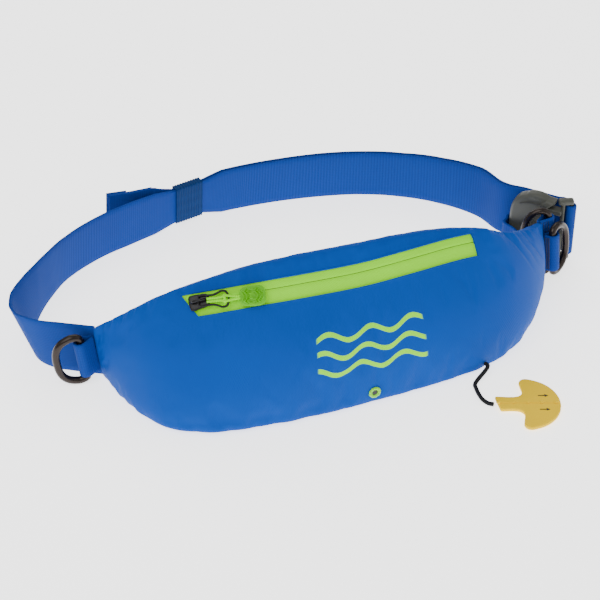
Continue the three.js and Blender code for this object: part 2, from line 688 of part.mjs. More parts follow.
function makeRings() {
  const left = firstPouchRing;
  const right = pouchFrame(1);
  const corner = seamHalf + endPuff;
  const narrow = { wire: ringWire, inside: ringInside, depth: ringDepth, width: tabWidth };
  const wide = { wire: wideRingWire, inside: wideRingInside, depth: wideRingDepth, width: strapWidth };
  const centred = (strapWidth - tabWidth) / 2;
  makeRing({ tab: "left_ring_tab", ring: "left_d_ring" },
    left.bottom.clone().addScaledVector(left.out, corner + 2 * fit).addScaledVector(left.tangent, -0.5),
    left, { ...narrow, barAt: 8.5, rise: centred + 1, yaw: 188, swing: -14 });
  makeRing({ tab: "right_ring_tab", ring: "right_d_ring" },
    right.bottom.clone().addScaledVector(right.out, corner + 2 * fit).addScaledVector(right.tangent, -1.2),
    right, { ...narrow, barAt: 5.6, rise: centred - 2, yaw: -22, swing: 54 });
  makeRing({ tab: "right_wide_tab", ring: "right_wide_ring" },
    right.bottom.clone().addScaledVector(right.tangent, 4 * fit).addScaledVector(right.out, -0.3),
    right, { ...wide, barAt: 9, rise: 0.5, yaw: 20, swing: 138 });
}

function inBuckleFrame() {
  const group = new THREE.Group();
  group.position.set(buckleMouth.x, buckleMouth.y, rightLift + strapWidth / 2);
  group.rotation.z = THREE.MathUtils.degToRad(buckleAngle);
  pack.add(group);
  return group;
}

// An outline in x and z drawn through the thickness, centred on the plane y = off.
function plateOn(outline, thickness, off, segments) {
  const size = { depth: thickness, bevelEnabled: false, curveSegments: segments };
  return new THREE.ExtrudeGeometry(outline, size)
    .rotateX(Math.PI / 2)
    .translate(0, off + thickness / 2, 0);
}

function femaleOutline(inset) {
  const high = buckleWidth / 2 - inset;
  const back = -femaleLength + inset;
  const outline = new THREE.Shape();
  outline.moveTo(0, -high);
  outline.quadraticCurveTo(-mouthBow * 1.6, 0, 0, high);
  outline.lineTo(back + cornerRound, high);
  outline.quadraticCurveTo(back, high, back, high - cornerRound);
  outline.lineTo(back, -high + cornerRound);
  outline.quadraticCurveTo(back, -high, back + cornerRound, -high);
  outline.closePath();
  return outline;
}

function makeBuckle() {
  const frame = inBuckleFrame();
  const high = buckleWidth / 2;
  const thick = buckleThickness / 2;
  const bevelled = joined([
    plateOn(femaleOutline(0), buckleThickness - 3, 0, 6),
    plateOn(femaleOutline(1.2), buckleThickness, 0, 6),
  ]);
  const pocketBack = -femaleLength + anchorBar + anchorSlot + 3;
  const windowBack = -windowLength - 5;
  const slotBack = -femaleLength + anchorBar;
  const slotFoot = -anchorDrop - anchorWidth / 2 - 0.8;
  const slotHead = -anchorDrop + anchorWidth / 2 + 0.8;
  const cut = (x0, x1, y0, y1) => solidOf(box(x0, x1, y0, y1, slotFoot, slotHead));
  const pocket = high - armThickness - 1;
  const female = bevelled
    .subtract(solidOf(box(pocketBack, 5, -thick + shellWall, thick - shellWall, -pocket, pocket)))
    .subtract(solidOf(box(
      windowBack, windowBack + windowLength, -thick + shellWall, thick - shellWall, -high - 1, high + 1,
    )))
    .subtract(cut(slotBack, slotBack + anchorSlot, -thick - 1, thick + 1))
    .subtract(cut(-femaleLength - 1, slotBack + 1, anchorBar / 2, thick + 1))
    .subtract(cut(-femaleLength - 1, slotBack + 1, -thick - 1, -anchorBar / 2));
  addMesh("buckle_female", geometryOf(female), plastic, frame);

  // The male half: a base in the mouth, two arms that show in the side windows, and the adjuster.
  const inner = thick - shellWall - fit;
  const armIn = high - armThickness - 1.2;
  const windowFront = windowBack + windowLength - fit;
  const turned = (part) => part.rotateZ(THREE.MathUtils.degToRad(adjusterTurn));
  const base = box(-20.5, neckFrom + 1, -inner, inner, -armIn + fit, armIn - fit);
  const opening = box(-17.5, neckFrom - 0.4, -inner - 1, inner + 1, -armIn + 4, armIn - 4);
  const arms = [1, -1].flatMap((side) => {
    const low = armIn - 2.4;
    const top = high + 0.9;
    const span = (from, to) => (side > 0 ? [from, to] : [-to, -from]);
    return [
      box(windowBack + 1.2, -10, -inner, inner, ...span(low, armIn - fit)),
      box(windowBack + fit, windowFront, -inner, inner, ...span(armIn - 1.5, top)),
    ];
  });
  const rail = strapWidth / 2 + 0.7;
  const rails = [1, -1].map((side) => {
    const from = side > 0 ? rail : -rail - railWidth;
    return turned(box(neckFrom, adjusterLength, -2.4, 2.4, from, from + railWidth));
  });
  const neckEnd = neckFrom + neckWidth;
  const neck = turned(box(neckFrom, neckEnd, -2.4, 2.4, -rail - railWidth, rail + railWidth));
  const barHalf = endBarWidth / 2;
  const endBar = turned(new THREE.CylinderGeometry(barHalf, barHalf, 2 * rail + 2, 10)
    .rotateX(Math.PI / 2).translate(endBarAt, 0, 0));
  const male = joined([base, ...arms, neck, ...rails, endBar]).subtract(solidOf(opening));
  addMesh("buckle_male", geometryOf(male), plastic, frame);
}

// The webbing that holds the female half to the back of the pouch, out of sight behind it.
function makeAnchor() {
  const wrap = anchorBar * Math.SQRT1_2 + ringPlay + strapThickness / 2;
  const barAt = -femaleLength + anchorBar / 2;
  const raised = { width: anchorWidth, lift: rightLift + (strapWidth - anchorWidth) / 2 - anchorDrop };
  const pouch = backPoint(anchorPlace, 0.35, fit + strapThickness + 1.2);
  const rows = [];
  const add = (point) => rows.push(webbingRow(point, raised));
  add(new THREE.Vector2(pouch.x, pouch.y));
  add(inBuckle(barAt + anchorLead, -1.75 * anchorLead));
  add(inBuckle(barAt - 0.4 * anchorLead, -anchorLead));
  for (const angle of [215, 185, 150, 115, 80, 45, 10, -25]) {
    const turn = THREE.MathUtils.degToRad(angle);
    add(inBuckle(barAt + wrap * Math.cos(turn), wrap * Math.sin(turn)));
  }
  addMesh("buckle_webbing", ribbon(rows, 1), webbing);
}

// The jerk cord's route over the table from the pouch to the handle's neck, as shares of the
// handle's length measured back from the neck.
const cordRoute = [
  { x: -0.08, y: 0.547 },
  { x: -0.111, y: 0.439 },
  { x: -0.13, y: 0.294 },
  { x: -0.125, y: 0.164 },
  { x: -0.082, y: 0.063 },
];
const cordPlace = 0.705;
const handleRoot = new THREE.Vector2(0.433 * halfLength, -bottomReach - 0.728 * handleLength);
const handleAngle = -21;

function makeJerkHandle() {
  const out = facePoint(cordPlace, 0.04, fit);
  const rise = out.clone().addScaledVector(faceAxes(cordPlace, 0.04).out, cordWidth);
  const turn = THREE.MathUtils.degToRad(handleAngle);
  const along = new THREE.Vector3(Math.cos(turn), Math.sin(turn), 0);
  const stop = new THREE.Vector3(handleRoot.x, handleRoot.y, handleThickness / 2);
  stop.addScaledVector(along, -1);
  const laid = cordRoute.map((row) => new THREE.Vector3(
    handleRoot.x + row.x * handleLength,
    handleRoot.y + row.y * handleLength,
    cordWidth * 0.53,
  ));
  const route = new THREE.CatmullRomCurve3([out, rise, ...laid, stop]);
  const sides = 8;
  const circle = new THREE.Shape(Array.from({ length: sides }, (_, i) => {
    const angle = ((i + 0.5) / sides) * 2 * Math.PI;
    return new THREE.Vector2(Math.cos(angle), Math.sin(angle)).multiplyScalar(cordWidth / 2);
  }));
  const tube = new THREE.ExtrudeGeometry(circle, { steps: 18, extrudePath: route, bevelEnabled: false });
  addMesh("jerk_cord", tube, blackCord);
  onCord.add("jerk_cord");

  const neck = handleNeck / 2;
  const centre = handleLength - handleHead;
  const lobe = 5.5;
  const fillet = 6;
  const outline = new THREE.Shape();
  outline.moveTo(0, -neck);
  outline.lineTo(centre - fillet, -neck + 0.5);
  outline.quadraticCurveTo(centre - 1, -neck + 0.5, centre, -neck - fillet);
  outline.quadraticCurveTo(centre - 1.5, -handleHead + lobe, centre - 0.5, -handleHead + 2);
  outline.quadraticCurveTo(centre + 1, -handleHead, centre + lobe, -handleHead * 0.985);
  outline.absarc(centre, 0, handleHead, -1.25, 1.25, false);
  outline.lineTo(centre + lobe, handleHead * 0.985);
  outline.quadraticCurveTo(centre + 1, handleHead, centre - 0.5, handleHead - 2);
  outline.quadraticCurveTo(centre - 1.5, handleHead - lobe, centre, neck + fillet);
  outline.quadraticCurveTo(centre - 1, neck - 0.5, centre - fillet, neck - 0.5);
  outline.lineTo(0, neck);
  outline.closePath();
  const size = { depth: handleThickness, bevelEnabled: false, curveSegments: 12 };
  const flat = new THREE.ExtrudeGeometry(outline, size);
  const ridge = box(0, handleLength - 1, -1, 1, handleThickness - 0.5, handleThickness + ridgeHeight);
  const handle = addMesh("jerk_handle", geometryOf(joined([flat, ridge])), yellow);
  handle.position.set(handleRoot.x, handleRoot.y, 0);
  handle.rotation.z = turn;
  onCord.add("jerk_handle");
}

makePouch();
makeZip();
makeSlider();
makeEyelet();
makeBelt();
makeKeeper();
makeRings();
makeBuckle();
makeAnchor();
makeJerkHandle();

// The origin is under the middle of everything but the cord and its handle.
pack.updateMatrixWorld(true);
const bounds = new THREE.Box3();
pack.traverse((piece) => {
  if (piece.isMesh && !onCord.has(piece.name)) bounds.union(new THREE.Box3().setFromObject(piece, true));
});
const middle = bounds.getCenter(new THREE.Vector3());
const belt = new THREE.Group();
pack.position.set(-middle.x, -middle.y, -bounds.min.z);
belt.add(pack);

export default belt;
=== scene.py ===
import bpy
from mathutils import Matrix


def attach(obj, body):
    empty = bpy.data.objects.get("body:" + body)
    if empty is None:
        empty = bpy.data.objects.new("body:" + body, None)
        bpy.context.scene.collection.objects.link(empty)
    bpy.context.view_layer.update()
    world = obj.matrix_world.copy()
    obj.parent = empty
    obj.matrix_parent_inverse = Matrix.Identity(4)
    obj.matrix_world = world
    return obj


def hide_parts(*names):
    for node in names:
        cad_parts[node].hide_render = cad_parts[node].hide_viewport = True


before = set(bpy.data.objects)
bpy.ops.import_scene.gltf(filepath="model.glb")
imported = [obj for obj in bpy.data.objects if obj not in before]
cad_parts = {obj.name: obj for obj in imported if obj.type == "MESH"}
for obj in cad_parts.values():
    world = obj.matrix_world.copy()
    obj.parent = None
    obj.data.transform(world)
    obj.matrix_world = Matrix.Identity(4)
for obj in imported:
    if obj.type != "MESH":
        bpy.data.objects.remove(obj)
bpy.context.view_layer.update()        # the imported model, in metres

import math
import bpy
from mathutils import Vector, noise

# The layout is in millimetres with the middle of the pouch's end seams at x = 0, y = 0.
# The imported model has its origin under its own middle, this far off.
layoutShift = Vector((8.924, -28.604, 0))
fit = 0.3  # the gap between pieces that touch


def inFrame(point):
    return (Vector(point) + layoutShift) / 1000


def deselectAll():
    if bpy.context.object and bpy.context.object.mode != "OBJECT":
        bpy.ops.object.mode_set(mode="OBJECT")
    bpy.ops.object.select_all(action="DESELECT")


def pick(*pieces):
    deselectAll()
    for piece in pieces:
        piece.select_set(True)
    bpy.context.view_layer.objects.active = pieces[0]


def turned(degrees):
    return math.radians(degrees)


def blendOf(a, b, share):
    return a + (b - a) * share


# Camera and light, as the photograph has them
cameraSettings = {"turn": -21, "rise": 38, "distance": 1250, "lens": 110.4, "look": (-8.5, 28, 0)}


def addCamera():
    turn, rise = turned(cameraSettings["turn"]), turned(cameraSettings["rise"])
    back = Vector((math.sin(turn) * math.cos(rise), -math.cos(turn) * math.cos(rise), math.sin(rise)))
    bpy.ops.object.camera_add()
    camera = bpy.context.object
    camera.location = inFrame(cameraSettings["look"]) + back * cameraSettings["distance"] / 1000
    camera.rotation_euler = (-back).to_track_quat("-Z", "Y").to_euler()
    camera.data.lens = cameraSettings["lens"]
    camera.data.sensor_width = 36
    bpy.context.scene.camera = camera


lightSettings = [
    # name, place, size, watts
    ("keyLight", (-0.75, -0.55, 1.25), 1.1, 12),
    ("fillLight", (0.95, -0.75, 0.85), 1.4, 4.5),
    ("backLight", (0.2, 1.15, 1.1), 1.3, 8),
]
worldLight = 0.65


def addLights():
    for name, place, size, watts in lightSettings:
        bpy.ops.object.light_add(type="AREA", location=place)
        light = bpy.context.object
        light.name = name
        light.data.energy = watts
        light.data.size = size
        light.rotation_euler = (-Vector(place)).to_track_quat("-Z", "Y").to_euler()
    world = bpy.data.worlds.new("studio")
    bpy.context.scene.world = world
    world.use_nodes = True
    world.node_tree.nodes["Background"].inputs["Color"].default_value = (1, 1, 1, 1)
    world.node_tree.nodes["Background"].inputs["Strength"].default_value = worldLight


# Shader maths as expressions
class Wire:
    def __init__(self, shade, socket):
        self.shade = shade
        self.socket = socket

    def math(self, operation, *others, **settings):
        return self.shade.node("ShaderNodeMath", {"operation": operation, **settings}, [self, *others])

    def __add__(self, other):
        return self.math("ADD", other)

    def __sub__(self, other):
        return self.math("SUBTRACT", other)

    def __mul__(self, other):
        return self.math("MULTIPLY", other)

    def __truediv__(self, other):
        return self.math("DIVIDE", other)

    __radd__ = __add__
    __rmul__ = __mul__

    def __rsub__(self, other):
        return self.shade.node("ShaderNodeMath", {"operation": "SUBTRACT"}, [other, self])

    def sine(self):
        return self.math("SINE")

    def size(self):
        return self.math("ABSOLUTE")

    def clamped(self):
        return self.math("MULTIPLY", 1, use_clamp=True)

    def below(self, edge, soft):
        # 1 under the edge and 0 over it, with a soft step between
        return ((edge - self) / soft + 0.5).clamped()


class Shade:
    def __init__(self, name, **constants):
        self.material = bpy.data.materials.new(name)
        self.material.use_nodes = True
        self.nodes = self.material.node_tree.nodes
        self.links = self.material.node_tree.links
        self.surface = self.nodes["Principled BSDF"]
        for socket, value in constants.items():
            self.surface.inputs[socket.replace("_", " ")].default_value = value

    def node(self, kind, settings, values, output=0):
        made = self.nodes.new(kind)
        for key, value in settings.items():
            setattr(made, key, value)
        pairs = values.items() if isinstance(values, dict) else enumerate(values)
        for socket, value in pairs:
            if isinstance(value, Wire):
                self.links.new(value.socket, made.inputs[socket])
            else:
                made.inputs[socket].default_value = value
        return Wire(self, made.outputs[output])

    def feed(self, **wires):
        for socket, wire in wires.items():
            self.links.new(wire.socket, self.surface.inputs[socket.replace("_", " ")])

    def objectPlace(self):
        return self.node("ShaderNodeTexCoord", {}, {}, "Object")

    def uvPlace(self):
        return self.node("ShaderNodeTexCoord", {}, {}, "UV")

    def parts(self, place):
        return [self.node("ShaderNodeSeparateXYZ", {}, [place], axis) for axis in range(3)]

    def noise(self, place, scale, detail=3, rough=0.5):
        values = {"Vector": place, "Scale": scale, "Detail": detail, "Roughness": rough}
        return self.node("ShaderNodeTexNoise", {}, values, 0)

    def mix(self, share, low, high):
        # a Mix node has its colours on inputs 6 and 7, and gives them on output 2
        low, high = [color if isinstance(color, Wire) else (*color, 1) for color in (low, high)]
        return self.node("ShaderNodeMix", {"data_type": "RGBA"}, {0: share, 6: low, 7: high}, 2)

    def bump(self, height, strength, distance):
        values = {"Height": height, "Strength": strength, "Distance": distance}
        self.feed(Normal=self.node("ShaderNodeBump", {}, values))


clothBlue = (0.0, 0.054, 0.32)
strapBlue = (0.0, 0.036, 0.245)
limeGreen = (0.27, 0.82, 0.0)


def tinted(color, share, added=0):
    return tuple(min(part * share + added, 1) for part in color)


clothLook = {"clouds": 18, "grain": 2600, "weave": 5200, "wrinkles": 60, "rough": 0.5, "relief": 0.0002}


def makePouchCloth():
    look = clothLook
    shade = Shade("pouchCloth", Specular_IOR_Level=0.07)
    place = shade.objectPlace()
    along, around, _ = shade.parts(shade.uvPlace())
    clouds = shade.noise(place, look["clouds"], 4)
    grain = shade.noise(place, look["grain"], 2)
    weave = (along * look["weave"]).sine() * (around * look["weave"]).sine()
    uneven = (clouds * 0.9 + grain * 0.25 - 0.1).clamped()
    base = shade.mix(uneven, tinted(clothBlue, 0.9), tinted(clothBlue, 1.1))
    mark = waveMotif(shade, along, around)
    rough = clouds * 0.16 + look["rough"] + mark * 0.06
    shade.feed(Base_Color=shade.mix(mark, base, limeGreen), Roughness=rough)
    wrinkles = shade.noise(place, look["wrinkles"], 3)
    shade.bump(weave * 0.4 + grain * 0.5 + wrinkles * 1.2 + mark * 1.5, 0.35, look["relief"])
    return shade.material


motifSettings = {
    "from": 0.465, "to": 0.61, "foot": 0.0198, "gap": 0.0042, "lines": 3, "waves": 2.5,
    "height": 0.0011, "half": 0.00062, "edge": 0.00012,
}


def waveMotif(shade, along, around):
    # Plain waves, one above another, where the pouch's print goes
    span = motifSettings["to"] - motifSettings["from"]
    across = (along / pouchSettings["length"] - motifSettings["from"]) / span
    inside = (across - 0.5).size().below(0.5, 0.02)
    total = None
    for line in range(motifSettings["lines"]):
        foot = motifSettings["foot"] - line * motifSettings["gap"]
        crest = (across * (2 * math.pi * motifSettings["waves"]) + line * 0.9).sine()
        height = around - crest * motifSettings["height"] - foot
        stroke = height.size().below(motifSettings["half"], motifSettings["edge"])
        total = stroke if total is None else total + stroke
    return (total * inside).clamped()


webbingLook = {"clouds": 30, "fuzz": 1500, "rough": 0.6, "relief": 0.00016}


def makeWebbing(name, color, ribPitch, coarse=1.0, twill=0):
    shade = Shade(name, Specular_IOR_Level=0.12)
    place = shade.objectPlace()
    along, across, _ = shade.parts(shade.uvPlace())
    ribs = ((along + across * twill) * (2 * math.pi / ribPitch)).sine() * 0.5 + 0.5
    yarns = (across * (2 * math.pi / (ribPitch * 0.8)) + ribs * 1.5).sine() * 0.5 + 0.5
    clouds = shade.noise(place, webbingLook["clouds"], 4)
    fuzz = shade.noise(place, webbingLook["fuzz"], 3)
    light = (ribs * 0.5 + yarns * 0.25 + fuzz * 0.35 + clouds * 0.3 - 0.2).clamped()
    color = shade.mix(light, tinted(color, 0.74), tinted(color, 1.16, 0.003))
    shade.feed(Base_Color=color, Roughness=fuzz * 0.2 + webbingLook["rough"])
    shade.bump(ribs * coarse + yarns * 0.4 + fuzz * 0.35, 0.45, webbingLook["relief"])
    return shade.material


mouldedLook = {"clouds": 55, "relief": 0.00015}


def makeMoulded(name, color, rough, grainSize=900, wear=0.0, **constants):
    shade = Shade(name, **constants)
    place = shade.objectPlace()
    clouds = shade.noise(place, mouldedLook["clouds"], 4)
    grain = shade.noise(place, grainSize, 3)
    uneven = (clouds * 0.7 + grain * 0.3).clamped()
    shade.feed(Base_Color=shade.mix(uneven, tinted(color, 0.86), tinted(color, 1.14, wear)))
    shade.feed(Roughness=(clouds * 0.2 + grain * 0.15 + rough - 0.17).clamped())
    shade.bump(grain + clouds * 0.6, 0.3, mouldedLook["relief"])
    return shade.material


def makeMaterials():
    return {
        "cloth": makePouchCloth(),
        "webbing": makeWebbing("beltWebbing", strapBlue, 0.0012, 0.7),
        "tab": makeWebbing("tabWebbing", strapBlue, 0.0019, 1.6, 0.8),
        "elastic": makeWebbing("keeperElastic", (0.0, 0.026, 0.12), 0.0012, 1.2),
        "tape": makeWebbing("zipTape", limeGreen, 0.0008, 0.3),
        "darkThread": makeMoulded("bartackThread", (0.0, 0.006, 0.05), 0.6),
        "slider": makeMoulded("sliderMetal", (0.004, 0.0035, 0.004), 0.3, Specular_IOR_Level=0.25),
        "rubber": makeMoulded("pullRubber", (0.1, 0.42, 0.0), 0.5, Specular_IOR_Level=0.25),
        "limeCord": makeWebbing("pullCord", limeGreen, 0.0009),
        "ring": makeMoulded("ringMetal", (0.026, 0.019, 0.016), 0.26, wear=0.008, Metallic=0.8),
        "buckle": makeMoulded("bucklePlastic", (0.056, 0.058, 0.047), 0.42, 1400, Specular_IOR_Level=0.3),
        # a near-black material for painted shade in the zip's slit, the buckle's grooves and the eyelet's
        # hole
        "paintedShade": makeMoulded("slotShadow", (0.02, 0.021, 0.02), 0.6),
        "handle": makeMoulded("handlePlastic", (0.9, 0.58, 0.0), 0.42, Specular_IOR_Level=0.12),
        "ink": makeMoulded("arrowInk", (0.02, 0.018, 0.012), 0.55),
        "cord": makeWebbing("cordBraid", (0.012, 0.012, 0.013), 0.0012, 1.4),
        "eyelet": makeMoulded("eyeletPaint", (0.2, 0.6, 0.0), 0.4),
        "film": makeMoulded("cellFilm", (0.5, 0.52, 0.53), 0.5),
        "floor": makeFloor(),
    }


def makeFloor():
    shade = Shade("studioFloor", Roughness=0.75, Specular_IOR_Level=0.1, Emission_Strength=2.2)
    speck = shade.noise(shade.objectPlace(), 3, 2)
    pale = shade.mix(speck, (0.9, 0.9, 0.9), (0.93, 0.93, 0.93))
    shade.feed(Base_Color=pale, Emission_Color=pale)
    return shade.material


# Building blocks
mergeDistance = 0.000002


def addSheet(name, columns, rows, spot, uvSize=(1, 1), closed=False):
    # A grid whose point at shares u, v is moved to spot(u, v), in layout millimetres
    deselectAll()
    bpy.ops.mesh.primitive_grid_add(x_subdivisions=columns, y_subdivisions=rows, size=1)
    piece = bpy.context.object
    piece.name = piece.data.name = name
    for vertex in piece.data.vertices:
        u = round((vertex.co.x + 0.5) * columns) / columns
        v = round((vertex.co.y + 0.5) * rows) / rows
        vertex.co = inFrame(spot(u, v))
    for corner in piece.data.uv_layers.active.data:
        corner.uv = (corner.uv.x * uvSize[0], corner.uv.y * uvSize[1])
    if closed:
        editAll(piece)
        bpy.ops.mesh.remove_doubles(threshold=mergeDistance)
        bpy.ops.mesh.select_all(action="DESELECT")
        bpy.ops.mesh.select_non_manifold()
        bpy.ops.mesh.edge_face_add()
        bpy.ops.mesh.select_all(action="SELECT")
        bpy.ops.mesh.normals_make_consistent(inside=False)
        bpy.ops.object.mode_set(mode="OBJECT")
    return piece


def editAll(piece):
    pick(piece)
    bpy.ops.object.mode_set(mode="EDIT")
    bpy.ops.mesh.select_mode(type="VERT")
    bpy.ops.mesh.select_all(action="SELECT")


def addModifier(piece, kind, **settings):
    modifier = piece.modifiers.new(kind.lower(), kind)
    for key, value in settings.items():
        setattr(modifier, key, value)
    pick(piece)
    bpy.ops.object.modifier_apply(modifier=modifier.name)


def finishPiece(piece, body, material, nodes=(), smooth=40):
    piece.data.materials.clear()
    piece.data.materials.append(materials[material])
    pick(piece)
    bpy.ops.object.transform_apply(location=True, rotation=True, scale=True)
    bpy.ops.object.shade_smooth_by_angle(angle=turned(smooth))
    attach(piece, body)
    if nodes:
        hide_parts(*nodes)
    return piece


def alongCurve(points, share):
    # Centripetal Catmull-Rom through the points
    spans = len(points) - 1
    at = min(int(share * spans), spans - 1)
    t = share * spans - at
    p1, p2 = points[at], points[at + 1]
    p0 = points[at - 1] if at > 0 else p1 * 2 - p2
    p3 = points[at + 2] if at + 2 <= spans else p2 * 2 - p1
    d1 = max((p2 - p1).length ** 0.5, 1e-4)
    d0 = (p1 - p0).length ** 0.5
    d2 = (p3 - p2).length ** 0.5
    d0 = d0 if d0 > 1e-4 else d1
    d2 = d2 if d2 > 1e-4 else d1
    m1 = ((p1 - p0) / d0 - (p2 - p0) / (d0 + d1) + (p2 - p1) / d1) * d1
    m2 = ((p2 - p1) / d1 - (p3 - p1) / (d1 + d2) + (p3 - p2) / d2) * d1
    return p1 + m1 * t + (p1 * -3 + p2 * 3 - m1 * 2 - m2) * t ** 2 + (p1 * 2 - p2 * 2 + m1 + m2) * t ** 3


def smoothPath(points, steps):
    return [alongCurve(points, i / steps) for i in range(steps + 1)]


def curveHeading(points, share):
    step = 0.0001
    return (alongCurve(points, min(share + step, 1)) - alongCurve(points, max(share - step, 0))).normalized()


def addTube(name, path, radius, sides, looped=False, flatAxis=None):
    # A round tube along points, whose radius may be a function of the share along it
    count = len(path)
    headings = []
    for i in range(count):
        before = path[(i - 1) % count] if looped else path[max(i - 1, 0)]
        after = path[(i + 1) % count] if looped else path[min(i + 1, count - 1)]
        headings.append((after - before).normalized())
    normals = []
    normal = headings[0].orthogonal().normalized() if flatAxis is None else flatAxis
    for heading in headings:
        normal = (normal - heading * normal.dot(heading)).normalized()
        normals.append(normal)
    steps = count if looped else count - 1

    def spot(u, v):
        i = round(u * steps) % count
        angle = 2 * math.pi * v
        reach = radius(u) if callable(radius) else radius
        side = headings[i].cross(normals[i])
        return path[i] + normals[i] * (reach * math.cos(angle)) + side * (reach * math.sin(angle))

    length = sum((path[i + 1] - path[i]).length for i in range(count - 1)) / 1000
    uvSize = (length, 2 * math.pi * (radius(0.5) if callable(radius) else radius) / 1000)
    return addSheet(name, steps, sides, spot, uvSize, closed=True)


# Pouch
pouchSettings = {
    "length": 0.312, "halfLength": 156, "height": 95, "strapWidth": 40, "bottomReach": 88, "topReach": 43,
    "frontPuff": 13, "backPuff": 17, "endPuff": 2.2, "seamHalf": 1.4, "rightLift": 6, "cloth": 0.0016,
    "columns": 240, "belowZip": 30, "zipRows": 8, "aboveZip": 8, "backRows": 30, "rowPitch": 0.001,
}
zipSettings = {
    "top": 12, "split": 18, "bottom": 27, "closing": 10.5, "start": 0.262, "slant": 0.034, "end": 0.74,
    "endSlant": -0.008, "slantFade": 0.05, "closingFrom": 0.2, "closingSpan": 0.58, "depth": 0.5,
    "overlap": 0.006, "tape": 0.0007,
}
pouchSections = [
    # bottom along, bottom out, top along, top out, rise, lift, full
    (-0.984, 0.0, -1.01, -0.02, 0.0, 0.0, 0.0),
    (-0.955, 0.29, -0.935, 0.2, 0.21, 0.0, 0.22),
    (-0.92, 0.5, -0.856, 0.395, 0.42, 0.0, 0.45),
    (-0.837, 0.75, -0.747, 0.581, 0.64, 0.0, 0.7),
    (-0.696, 0.898, -0.599, 0.767, 0.83, 0.0, 0.88),
    (-0.503, 0.966, -0.426, 0.884, 0.955, 0.0, 0.97),
    (-0.279, 1.0, -0.221, 0.953, 1.0, 0.0, 1.0),
    (-0.022, 1.0, -0.003, 1.0, 1.0, 0.0, 1.0),
    (0.234, 0.989, 0.202, 1.02, 0.99, 0.0, 1.0),
    (0.458, 0.943, 0.394, 0.977, 0.905, 0.0, 0.97),
    (0.619, 0.841, 0.56, 0.94, 0.765, 0.0, 0.88),
    (0.747, 0.67, 0.695, 0.83, 0.54, 0.05, 0.7),
    (0.865, 0.42, 0.835, 0.53, 0.29, 0.3, 0.42),
    (0.976, 0.12, 0.97, 0.13, 0.0, 1.0, 0.0),
]
bottomSeam, topSeam, fullness = [], [], []
for footAlong, footOut, headAlong, headOut, rise, lift, full in pouchSections:
    half, raised = pouchSettings["halfLength"], lift * pouchSettings["rightLift"]
    footHeight = pouchSettings["seamHalf"] * 0.6 + raised
    crown = pouchSettings["height"] - pouchSettings["strapWidth"]
    headHeight = pouchSettings["strapWidth"] + rise * crown + raised
    bottomSeam.append(Vector((footAlong * half, -footOut * pouchSettings["bottomReach"], footHeight)))
    topSeam.append(Vector((headAlong * half, -headOut * pouchSettings["topReach"], headHeight)))
    fullness.append(Vector((full, 0, 0)))
frameCache = {}


def pouchFrame(place):
    key = round(place, 6)
    if key not in frameCache:
        bottom = alongCurve(bottomSeam, place)
        up = alongCurve(topSeam, place) - bottom
        tangent = (curveHeading(bottomSeam, place) + curveHeading(topSeam, place)).normalized()
        full = min(max(alongCurve(fullness, place).x, 0), 1)
        frameCache[key] = (bottom, up, tangent, tangent.cross(up).normalized(), full, up.length)
    return frameCache[key]


def padding(full, rise, puff, shape):
    roundness = max(4 * rise * (1 - rise), 0)
    stand = blendOf(pouchSettings["endPuff"], puff, full)
    return pouchSettings["seamHalf"] + stand * roundness ** blendOf(0.3, shape, full)


def facePoint(place, rise, off=0.0):
    bottom, up, _, out, full, _ = pouchFrame(place)
    return bottom + up * rise + out * (padding(full, rise, pouchSettings["frontPuff"], 0.8) + off)


def backPoint(place, rise, off=0.0):
    bottom, up, _, out, full, _ = pouchFrame(place)
    return bottom + up * rise - out * (padding(full, rise, pouchSettings["backPuff"], 0.6) + off)


def faceAxes(place, rise):
    step = 0.004
    right = (facePoint(place + step, rise) - facePoint(place - step, rise)).normalized()
    rough = facePoint(place, rise + step) - facePoint(place, rise - step)
    out = right.cross(rough).normalized()
    return right, out.cross(right), out


def zipRise(place, fromTop):
    # the zip closes towards the top seam at both ends
    share = min(max((place - zipSettings["closingFrom"]) / zipSettings["closingSpan"], 0), 1)
    closing = zipSettings["closing"] * (1 - math.sin(math.pi * share))
    return 1 - (fromTop - closing) / pouchFrame(place)[5]


rippleSettings = {
    "topSeam": 2.4, "footSeam": 1.1, "slow": 0.9, "endFade": 0.04,
    "creaseDepth": 0.75, "creaseHalf": 0.0045, "creaseRise": 0.78, "creaseSpread": 0.16,
    "foldDepth": 0.7, "foldRise": 0.085, "foldPlace": 0.42,
    "windowMiddle": 0.515, "windowReach": 0.3, "windowCalm": 0.75,
}
endCreases = [
    # place, slope
    (0.835, 0.09), (0.862, 0.095), (0.89, 0.1),
]


def hump(distance, reach):
    return math.exp(-(distance / reach) ** 2)


def ripple(place, rise, back):
    # Puckers along both seams, slow unevenness, the drawn creases at one end and a fold at the foot
    r = rippleSettings
    spot = Vector((place * 31, 3 if back else 0, 0))
    wave = noise.noise(spot * 1.3) + 0.6 * noise.noise(spot * 2.9 + Vector((7, 0, 0)))
    lower = noise.noise(spot * 1.1 + Vector((0, 9, 0)))
    slow = noise.noise(Vector((place * 7, rise * 2.4, 5 if back else 1))) * 4 * rise * (1 - rise)
    total = r["topSeam"] * wave * hump(1 - rise, 0.09) + r["footSeam"] * lower * hump(rise, 0.11)
    total += r["slow"] * slow
    for start, slope in endCreases:
        across = hump(place - start - slope * (1 - rise), r["creaseHalf"])
        total -= r["creaseDepth"] * across * hump(rise - r["creaseRise"], r["creaseSpread"])
    return total - r["foldDepth"] * hump(rise - r["foldRise"], 0.02) * hump(place - r["foldPlace"], 0.12)


def pouchRows():
    rows = []
    for i in range(pouchSettings["belowZip"]):
        rows.append(("below", i / pouchSettings["belowZip"]))
    for i in range(pouchSettings["zipRows"]):
        rows.append(("zip", i / pouchSettings["zipRows"]))
    for i in range(pouchSettings["aboveZip"]):
        rows.append(("above", i / pouchSettings["aboveZip"]))
    for i in range(pouchSettings["backRows"]):
        rows.append(("back", i / pouchSettings["backRows"]))
    return rows


